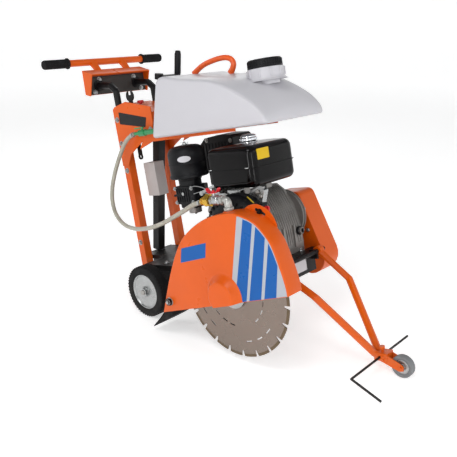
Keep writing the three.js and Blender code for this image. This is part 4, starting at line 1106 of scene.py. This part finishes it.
def make_tank_cap():
    bm = bmesh.new()
    base = 744.4
    lathe(
        bm,
        [(60, base), (60, base + 6), (57.5, base + 7), (57.5, base + 25), (56, base + 28), (52, base + 29.6),
         (46, base + 29.8), (44, base + 28), (20, base + 28), (18, base + 30.6), (0, base + 31)],
        (NECK_X, 0, 0), (0, 0, 1), 96,
    )
    for i in range(40):
        turned_box(bm, (NECK_X, 0, 0), math.tau * i / 40, 55, 59.6, -2, 2, base + 7, base + 24)
    for i in range(4):
        turn = math.tau * i / 4 + 0.4
        turned_box(bm, (NECK_X, 0, 0), turn, 16, 44, -2.5, 2.5, base + 27, base + 30)
    piece("tank_cap_ribbed", bm, "plastic", "filler_cap", smooth=35, bevel=0.5, replaces=("tank_cap",))


def make_tank_handle():
    bm = bmesh.new()
    path = smooth_curve(
        [(186, 0, 776), (200, 0, 784), (226, 0, 795), (260, 0, 803), (310, 0, 808), (350, 0, 806.5),
         (374, 0, 797), (383, 0, 782), (378, 0, 768), (364, 0, 752)], 6,
    )
    sweep(bm, path, lambda t: 9.8 + 2.2 * abs(2 * t - 1) ** 6, 28)
    piece("tank_handle_grip", bm, "orange_plastic", "tank", smooth=60, replaces=("tank_handle",))


# ---------------------------------------------------------------- engine
FUEL = ((305, 525), (-145, 95), (362, 510))
FUEL_CAP_X = 400


def make_fuel_tank():
    (x0, x1), (y0, y1), (z0, z1) = FUEL
    seam = z0 + 67
    bm = bmesh.new()
    soft_block(bm, (x0, x1), (y0, y1), (z0, z1 - 1), 34, 24, 26, 7, 10)
    lathe(bm, [(30, z1 - 4), (27, z1 - 2), (24, z1)], (FUEL_CAP_X, 0, 0), (0, 0, 1), 48)
    piece("fuel_tank_shell", bm, "gloss", "chassis", smooth=60, replaces=("fuel_tank",))
    bm = bmesh.new()
    label = rectangle_loop(-112, -50, 452, 488, 3, 4)
    skin(bm, [[Vector((px, py, pz)) for py, pz in label] for px in (x1 - 0.3, x1 + 0.4)])
    piece("fuel_tank_blank_label", bm, "yellow_film", "chassis", smooth=10)
    bm = bmesh.new()
    soft_block(bm, (x0 - 1.2, x1 + 5), (y0 - 1.2, y1 + 4), (seam - 2.6, seam + 0.4), 36, 1.4, 1.4, 0, 3)
    piece("fuel_tank_seam", bm, "gloss", "chassis", smooth=50)
    bm = bmesh.new()
    for x in (x0 + 26, x1 - 26):
        for y in (y0 + 2, y1 - 2):
            lathe(bm, [(7, 0), (7, 2.4), (5, 3)], (x, y, seam + 1), (0, 0, 1), 20)
    piece("fuel_tank_studs", bm, "zinc", "chassis")


def make_fuel_cap():
    z = 510.3
    bm = bmesh.new()
    lathe(
        bm,
        [(30, 0), (31, 1), (31, 9), (30, 11), (28.5, 12), (28.5, 16), (26, 19.5), (20, 22),
         (10, 23.4), (0, 23.8)],
        (FUEL_CAP_X, 0, z), (0, 0, 1), 72,
    )
    for i in range(36):
        turned_box(bm, (FUEL_CAP_X, 0, z), math.tau * i / 36, 29.5, 31.9, -1.2, 1.2, 1.5, 9)
    piece("fuel_cap_chrome", bm, "chrome", "fuel_filler_cap", smooth=40, bevel=0.3, replaces=("fuel_cap",))


def make_air_filter():
    x, y = 180, -105
    bm = bmesh.new()
    drum = [
        (44, 400), (44, 408), (68, 409), (71.5, 411), (71.5, 420), (69.5, 423), (68.5, 425),
        (68.5, 458), (70, 460), (70, 464), (68.5, 466), (68, 498), (66.5, 505), (62, 513),
        (55, 520), (44, 524.5), (28, 526.5), (12, 527), (0, 527),
    ]
    lathe(bm, drum, (x, y, 0), (0, 0, 1), 80)
    piece("air_filter_cover", bm, "plastic", "chassis", smooth=40, replaces=("air_filter",))
    bm = bmesh.new()
    lathe(bm, [(11, 527), (11, 529), (6.5, 530), (6.5, 536), (4, 538), (0, 539)], (x, y, 0), (0, 0, 1), 28)
    for side in (-1, 1):
        turned_box(bm, (x, y, 0), math.pi * (side < 0) + 0.6, 4, 15, -1.6, 1.6, 529.5, 538)
    piece("filter_wing_nut", bm, "zinc", "chassis", bevel=0.5)
    bm = bmesh.new()
    for i in range(28):
        turned_box(bm, (x, y, 0), math.tau * i / 28, 69, 71.2, -1.4, 1.4, 412, 421)
    piece("filter_base_ribs", bm, "plastic", "chassis", bevel=0.3)
    bm = bmesh.new()
    rows = []
    for radius, spread in ((69.0, 0.02), (69.0, 0.35), (69.0, 0.7), (69.0, 1.0), (68.2, 1.0)):
        row = []
        for i in range(32):
            a = math.tau * i / 32
            turn = math.radians(-52) + 0.36 * spread * math.cos(a)
            height = 480 + 11 * spread * math.sin(a)
            row.append(Vector((x + radius * math.cos(turn), y + radius * math.sin(turn), height)))
        rows.append(row)
    skin(bm, rows)
    piece("filter_blank_badge", bm, "white_film", "chassis", smooth=30)


# ---------------------------------------------------------------- engine and control details
def make_carburettor():
    """Black air box under the filter, with its bolts, drain plug, carburettor body and throttle linkage."""
    x, y = 182, -105
    bm = bmesh.new()
    soft_block(bm, (x - 58, x + 44), (y - 38, y + 32), (312, 380), 14, 5, 5)
    soft_block(bm, (x - 44, x + 40), (y - 34, y + 30), (372, 402), 24, 5, 5)
    soft_block(bm, (x - 48, x + 36), (y - 30, y + 26), (296, 316), 12, 6, 2)
    for i in range(6):
        box(bm, x - 46 + i * 12, x - 42 + i * 12, y - 40.5, y - 36, 322, 372)
    piece("air_box", bm, "plastic", "chassis", smooth=40, bevel=0.6, replaces=("carburettor",))
    bm = bmesh.new()
    soft_block(bm, (x - 16, x + 42), (y + 20, -59), (336, 378), 6, 3, 3)
    lathe(bm, [(22, 0), (24, 2), (24, 20), (20, 24)], (x + 4, y - 4, 276), (0, 0, 1), 36)
    lathe(bm, [(5, 0), (5, 5), (3, 6)], (x + 4, y - 4, 276), (0, 0, -1), 12)
    piece("carburettor_body", bm, "aluminium", "chassis", smooth=40, bevel=0.8)
    bm = bmesh.new()
    for px, pz in ((x - 51, 320), (x + 36, 320), (x - 51, 372), (x + 36, 372)):
        bolt(bm, (px, y - 38, pz), (0, -1, 0), 9, 4)
    lathe(bm, [(6, 0), (6, 4), (3, 5)], (x - 10, y - 38, 352), (0, -1, 0), 20)
    for rod in (
        [(x + 30, y - 40, 372), (x + 62, y - 44, 380), (x + 100, y - 40, 372), (x + 138, y - 34, 352)],
        [(x + 40, y - 34, 350), (x + 80, y - 36, 356), (x + 130, y - 32, 344)],
    ):
        sweep(bm, smooth_curve(rod, 6), 1.6, 10)
    piece("linkage", bm, "zinc", "chassis", smooth=40)


def make_control_bracket():
    """Pressed zinc plates under the fuel tank that carry the throttle, with its spring and bolts."""
    bm = bmesh.new()
    plate(bm, [(262, 338), (300, 350), (372, 346), (380, 334), (320, 322), (270, 322)], -128, -126)
    plate(bm, [(300, 350), (340, 358), (352, 350), (330, 344)], -136, -122)
    box(bm, 372, 430, -120, -117, 340, 356)
    box(bm, 372, 430, -120, -96, 352, 355)
    hook = [(470, 330), (505, 352), (530, 352), (536, 362), (520, 366), (484, 352), (462, 338)]
    plate(bm, hook, -118, -108)
    plate(bm, [(505, 300), (518, 304), (536, 350), (522, 358), (508, 340)], -116, -92)
    piece("control_bracket", bm, "zinc", "chassis", smooth=30, bevel=0.8)
    bm = bmesh.new()
    coil = []
    for i in range(100):
        a = math.tau * i / 9
        coil.append((285 + i * 0.42, -132 + 4 * math.cos(a), 350 + 4 * math.sin(a) + i * 0.06))
    sweep(bm, coil, 0.7, 8)
    for px, pz in ((280, 332), (330, 336), (366, 338)):
        bolt(bm, (px, -128, pz), (0, -1, 0), 8, 4)
    bolt(bm, (508, -118, 345), (0, -1, 0), 10, 5)
    bolt(bm, (520, -116, 330), (0, -1, 0), 10, 5)
    piece("governor_spring", bm, "steel", "chassis", smooth=50)


def make_wiring():
    """Loom from the engine switch over the fan housing to the coil."""
    runs = (
        ("wire_yellow", 2.1, [(516, -140, 300), (505, -150, 322), (486, -146, 334),
             (470, -128, 330), (462, -112, 322)]),
        ("rubber", 2.6, [(530, -140, 276), (528, -146, 250), (515, -132, 228),
             (505, -112, 210), (500, -96, 190)]),
        ("wire_blue", 2.1, [(538, -136, 270), (540, -138, 240), (528, -122, 210),
             (512, -104, 196), (503, -84, 176)]),
        ("rubber", 3.2, [(500, -124, 318), (470, -136, 340), (440, -132, 346),
             (410, -126, 340), (380, -124, 336)]),
        ("rubber", 3.0, [(300, -70, 330), (286, -84, 320), (268, -86, 330), (252, -84, 346)]),
    )
    for i, (look, radius, points) in enumerate(runs):
        bm = bmesh.new()
        sweep(bm, smooth_curve(points, 7), radius, 12)
        piece(f"engine_lead_{i + 1}", bm, look, "chassis", smooth=60)


def make_recoil_details():
    """Louvres, rim bolts and centre cap of the recoil starter cover."""
    cx, cz = CRANK
    bm = bmesh.new()
    for i in range(30):
        turned_box(bm, (cx, 0, cz), math.tau * i / 30, -2.4, 2.4, -198, -186, 99, 113, axis="Y")
    lathe(bm, [(38, 0), (38, 3), (34, 6), (20, 8), (0, 8.5)], (cx, -207.5, cz), (0, -1, 0), 56)
    turned_ring(bm, [(126, -148), (129, -146), (129, -140), (126, -138)], (cx, 0, cz), (0, 1, 0), 80)
    piece("starter_louvres", bm, "plastic", "chassis", smooth=40, bevel=0.8)
    bm = bmesh.new()
    for i in range(6):
        a = math.tau * i / 6 + 0.3
        bolt(bm, (cx + 84 * math.cos(a), -205, cz + 84 * math.sin(a)), (0, -1, 0), 10, 4)
    piece("starter_bolts", bm, "zinc", "chassis")


def make_crankcase_details():
    """Ribs and bolts on the crankcase, the oil filler cap, the drain bolt and the exhaust flange."""
    bm = bmesh.new()
    for y in range(-104, 100, 12):
        path = [(502.6, y, 122), (499, y, 190), (481.5, y, 255), (452, y, 311), (420, y, 335.5)]
        sweep(bm, smooth_curve(path, 5), 1.9, 8)
    flange = [(92, 0), (92, 3), (88, 6), (60, 7), (58, 14), (52, 16)]
    lathe(bm, flange, (CRANK[0], 112, CRANK[1]), (0, 1, 0), 72)
    piece("crankcase_ribs", bm, "aluminium", "chassis", smooth=45)
    bm = bmesh.new()
    for i in range(7):
        a = math.tau * i / 7 + 0.2
        bolt(bm, (CRANK[0] + 80 * math.cos(a), 119, CRANK[1] + 80 * math.sin(a)), (0, 1, 0), 12, 6)
    for z in (140, 215):
        bolt(bm, (503 if z < 180 else 494, -94, z), (1, 0, 0.2), 12, 6)
    piece("crankcase_bolts", bm, "zinc", "chassis")
    bm = bmesh.new()
    plug = [(15, 0), (16, 1.5), (16, 7), (14, 8.5), (9, 9), (9, 16), (7, 17)]
    lathe(bm, plug, (505, 78, 165), (1, 0, 0), 32)
    box(bm, 514, 527, 75.5, 80.5, 157, 173)
    piece("oil_filler_cap", bm, "plastic", "chassis", smooth=40, bevel=0.6)


def make_muffler_details():
    """Heat shield with slots over the muffler, its screws and its tail pipe."""
    bm = bmesh.new()
    for y0, y1 in ((29.4, 32.6), (141.4, 144.4)):
        for i in range(9):
            x = 128 + i * 17
            box(bm, x, x + 9, y0, y1, 424, 512)
    piece("muffler_louvres", bm, "black", "chassis", smooth=30, bevel=1.4, segments=3)
    bm = bmesh.new()
    for x, z in ((112, 412), (280, 414), (282, 516), (160, 526)):
        bolt(bm, (x, 142.2, z), (0, 1, 0), 10, 4)
        bolt(bm, (x, 31.8, z), (0, -1, 0), 10, 4)
    turned_ring(bm, [(10, 0), (13, 0), (13, 12), (10, 12)], (100.5, 90, 440), (-1, 0, 0), 32)
    piece("muffler_screws", bm, "steel", "chassis")


# ---------------------------------------------------------------- handle, console and frame details
def make_handle_details():
    bm = bmesh.new()
    box(bm, -279.6, -279.1, -146, 146, 769, 842)
    box(bm, -274.9, -274.3, -146, 146, 769, 842)
    piece("handle_plate", bm, "black", "handle", smooth=30)
    bm = bmesh.new()
    for x, z, spread in ((-274.3, 828, 90), (-274.3, 779, 120)):
        for side in (-1, 1):
            bolt(bm, (x, side * spread, z), (1, 0, 0), 13, 6)
            bolt(bm, (-279.6, side * spread, z), (-1, 0, 0), 13, 6)
    piece("handle_bolts", bm, "zinc", "handle", bevel=0.3)
    for side in (-1, 1):
        name = "right" if side < 0 else "left"
        inner = side * 190.3
        bm = bmesh.new()
        profile = [(14.6, 0), (21.5, 0), (22, 1), (22, 4), (20.6, 5.4)]
        for i in range(15):
            start = 8 + i * 6.6
            profile += [(17, start), (18, start + 0.8), (18, start + 4.6), (17, start + 5.4)]
        profile += [(17.5, 108), (16.5, 110.6), (12, 111.7), (0, 111.7)]
        lathe(bm, profile, (-325, inner, 905), (0, side, 0), 40)
        piece(f"grip_{name}_ribbed", bm, "rubber", "handle", smooth=35, replaces=(f"grip_{name}",))


def make_console_details():
    """Black band on the right cheek, and bolts on both cheeks."""
    bm = bmesh.new()
    face = -118.35
    band = round_loop([(-152, 684), (10, 647), (-4, 611), (-156, 637)], 3)
    plate(bm, band, face - 0.35, face + 0.2)
    piece("console_band", bm, "black_film", "chassis", smooth=10)
    bm = bmesh.new()
    for x, y, z in (
        (-168, 118.3, 655), (-168, 118.3, 560), (-20, 118.3, 590), (24, 118.3, 600),
        (-168, 115.2, 450), (-168, 115.2, 150),
    ):
        for side in (-1, 1):
            bolt(bm, (x, side * y, z), (0, side, 0), 13, 6)
    piece("frame_bolts", bm, "zinc", "chassis", bevel=0.3)


def make_chassis_details():
    bm = bmesh.new()
    box(bm, 545.1, 545.9, -30, 44, 30, 70)
    piece("rating_plate", bm, "white_film", "chassis", smooth=10, bevel=0.2)
    bm = bmesh.new()
    for y in (-38, 52):
        for z in (34, 66):
            lathe(bm, [(3, 0), (3, 1), (2, 1.8)], (545.2, y * 0.78 + 1.6, z), (1, 0, 0), 14)
    for x in (330, 500):
        for y in (-92, 82):
            bolt(bm, (x, y, 88.2), (0, 0, 1), 16, 8)
    for x in (40, 150, 260):
        bolt(bm, (x, -170, 88.2), (0, 0, 1), 13, 6)
    piece("deck_bolts", bm, "zinc", "chassis", bevel=0.3)


def make_belt_guard_details():
    inner = [(448, 272), (500, 151), (473, 210), (365, 262), (440, 20), (540, 60)]
    outer = [(380, 250), (440, 250), (470, 20), (520, 40)]
    for name, spots, y, facing, height in (
        ("belt_guard_bolts", inner, 144.4, -1, 6),
        ("belt_cover_bolts", outer, 235.2, 1, 5),
    ):
        bm = bmesh.new()
        for x, z in spots:
            bolt(bm, (x, y, z), (0, facing, 0), 13, height)
        piece(name, bm, "zinc", "chassis", bevel=0.3)


# ---------------------------------------------------------------- studio
def add_lights():
    def area(name, location, target, size, power, height=None):
        data = bpy.data.lights.new(name, "AREA")
        data.shape = "RECTANGLE" if height else "DISK"
        data.size = size
        if height:
            data.size_y = height
        data.energy = power
        lamp = bpy.data.objects.new(name, data)
        lamp.location = location
        aim = Vector(target) - Vector(location)
        lamp.rotation_euler = aim.to_track_quat("-Z", "Y").to_euler()
        bpy.context.scene.collection.objects.link(lamp)

    centre = (0, 0, 0.45)
    area("key", (0.5, -2.2, 3.6), centre, 1.6, 36)
    area("fill", (3.2, 0.6, 2.6), centre, 1.6, 12)
    area("rim", (-2.6, 2.4, 2.6), centre, 1.4, 12)
    area("strip_right", (1.0, -3.0, 1.3), centre, 0.14, 18, 2.2)
    area("strip_front", (2.9, -1.5, 1.4), centre, 0.14, 13, 2.2)
    world = bpy.data.worlds.new("studio")
    world.use_nodes = True
    background = world.node_tree.nodes["Background"]
    background.inputs["Color"].default_value = (0.98, 0.99, 1.0, 1.0)
    background.inputs["Strength"].default_value = 0.27
    bpy.context.scene.world = world
    bpy.context.scene.view_settings.view_transform = "Standard"


def add_floor():
    """A wide flat floor that curves up into a wall far behind the object on every side."""
    bm = bmesh.new()
    flat, bend, wall = 9.0, 4.0, 7.0
    outline = [(0.01, 0.0), (flat, 0.0)]
    for degrees in range(10, 91, 10):
        a = math.radians(degrees)
        outline.append((flat + bend * math.sin(a), bend - bend * math.cos(a)))
    outline.append((flat + bend, wall))
    rows = []
    for radius, height in outline:
        rows.append(ring(Vector((0, 0, height)), Vector((1, 0, 0)), Vector((0, 1, 0)), radius, 72))
    skin(bm, rows, closed_ends=False)
    bmesh.ops.reverse_faces(bm, faces=bm.faces)
    mesh = bpy.data.meshes.new("floor")
    bm.to_mesh(mesh)
    bm.free()
    shade(mesh, 40)
    mesh.materials.append(MATERIALS["floor"])
    floor = bpy.data.objects.new("floor", mesh)
    bpy.context.scene.collection.objects.link(floor)


# CAD nodes that keep their own shape, by look and edge width in millimetres.
DRESSED = {
    ("black", 1.0): ("chassis_frame", "wheel_carriage", "crank_arm"),
    ("steel", 1.0): ("rear_axle", "blade_shaft"),
    ("orange", 1.2): ("side_frame_right", "side_frame_left"),
    ("orange", 0.8): (
        "console_top", "belt_guard_back", "guide_arm_right", "guide_arm_left", "handlebar",
    ),
    ("black", 1.5): ("spindle_column",),
    ("milky", 0.8): ("tool_box",),
    ("aluminium", 3.0): ("crankcase",),
    ("aluminium", 0.8): ("cylinder",),
    ("plastic", 1.5): ("recoil_starter", "crank_grip"),
    ("black", 4.0): ("muffler",),
    ("iron", 1.5): ("bearing_right", "bearing_left"),
    ("orange", 2.5): ("belt_guard_cover",),
    ("rubber", 0.8): ("drive_belt",),
    ("steel", 0.8): ("crankshaft",),
    ("iron", 0.8): ("drive_pulley", "driven_pulley"),
    ("blade", 0.3): ("blade",),
    ("zinc", 1.0): ("outer_flange",),
    ("plastic", 2.0): ("recoil_handle",),
    ("zinc", 0.5): ("throttle_lever",),
    ("plastic", 0.5): ("choke_lever",),
    ("red", 1.0): ("engine_switch", "stop_button"),
    ("steel", 0.5): ("lift_screw",),
    ("zinc", 0.8): ("lift_nut",),
    ("rubber", 1.0): ("splash_flap",),
    ("black", 0.5): ("pointer_rod",),
    ("green", 0.8): ("tank_tap", "tank_tap_lever"),
    ("black", 0.8): ("handle_stem_right", "handle_stem_left", "spanner"),
}

add_camera()
make_water_hose()
make_hose_clips()
for (look, width), nodes in DRESSED.items():
    for node in nodes:
        dress(node, look, width)
for side in (-1, 1):
    rear_wheel(side)
    front_wheel(side)
guide_roller()
make_guard()
make_guard_decals()
make_guard_fixings()
make_valve()
make_valve_lever()
make_segments()
make_tank()
make_tank_cap()
make_tank_handle()
make_fuel_tank()
make_fuel_cap()
make_air_filter()
make_carburettor()
make_control_bracket()
make_wiring()
make_recoil_details()
make_crankcase_details()
make_muffler_details()
make_handle_details()
make_console_details()
make_chassis_details()
make_belt_guard_details()
add_lights()
add_floor()
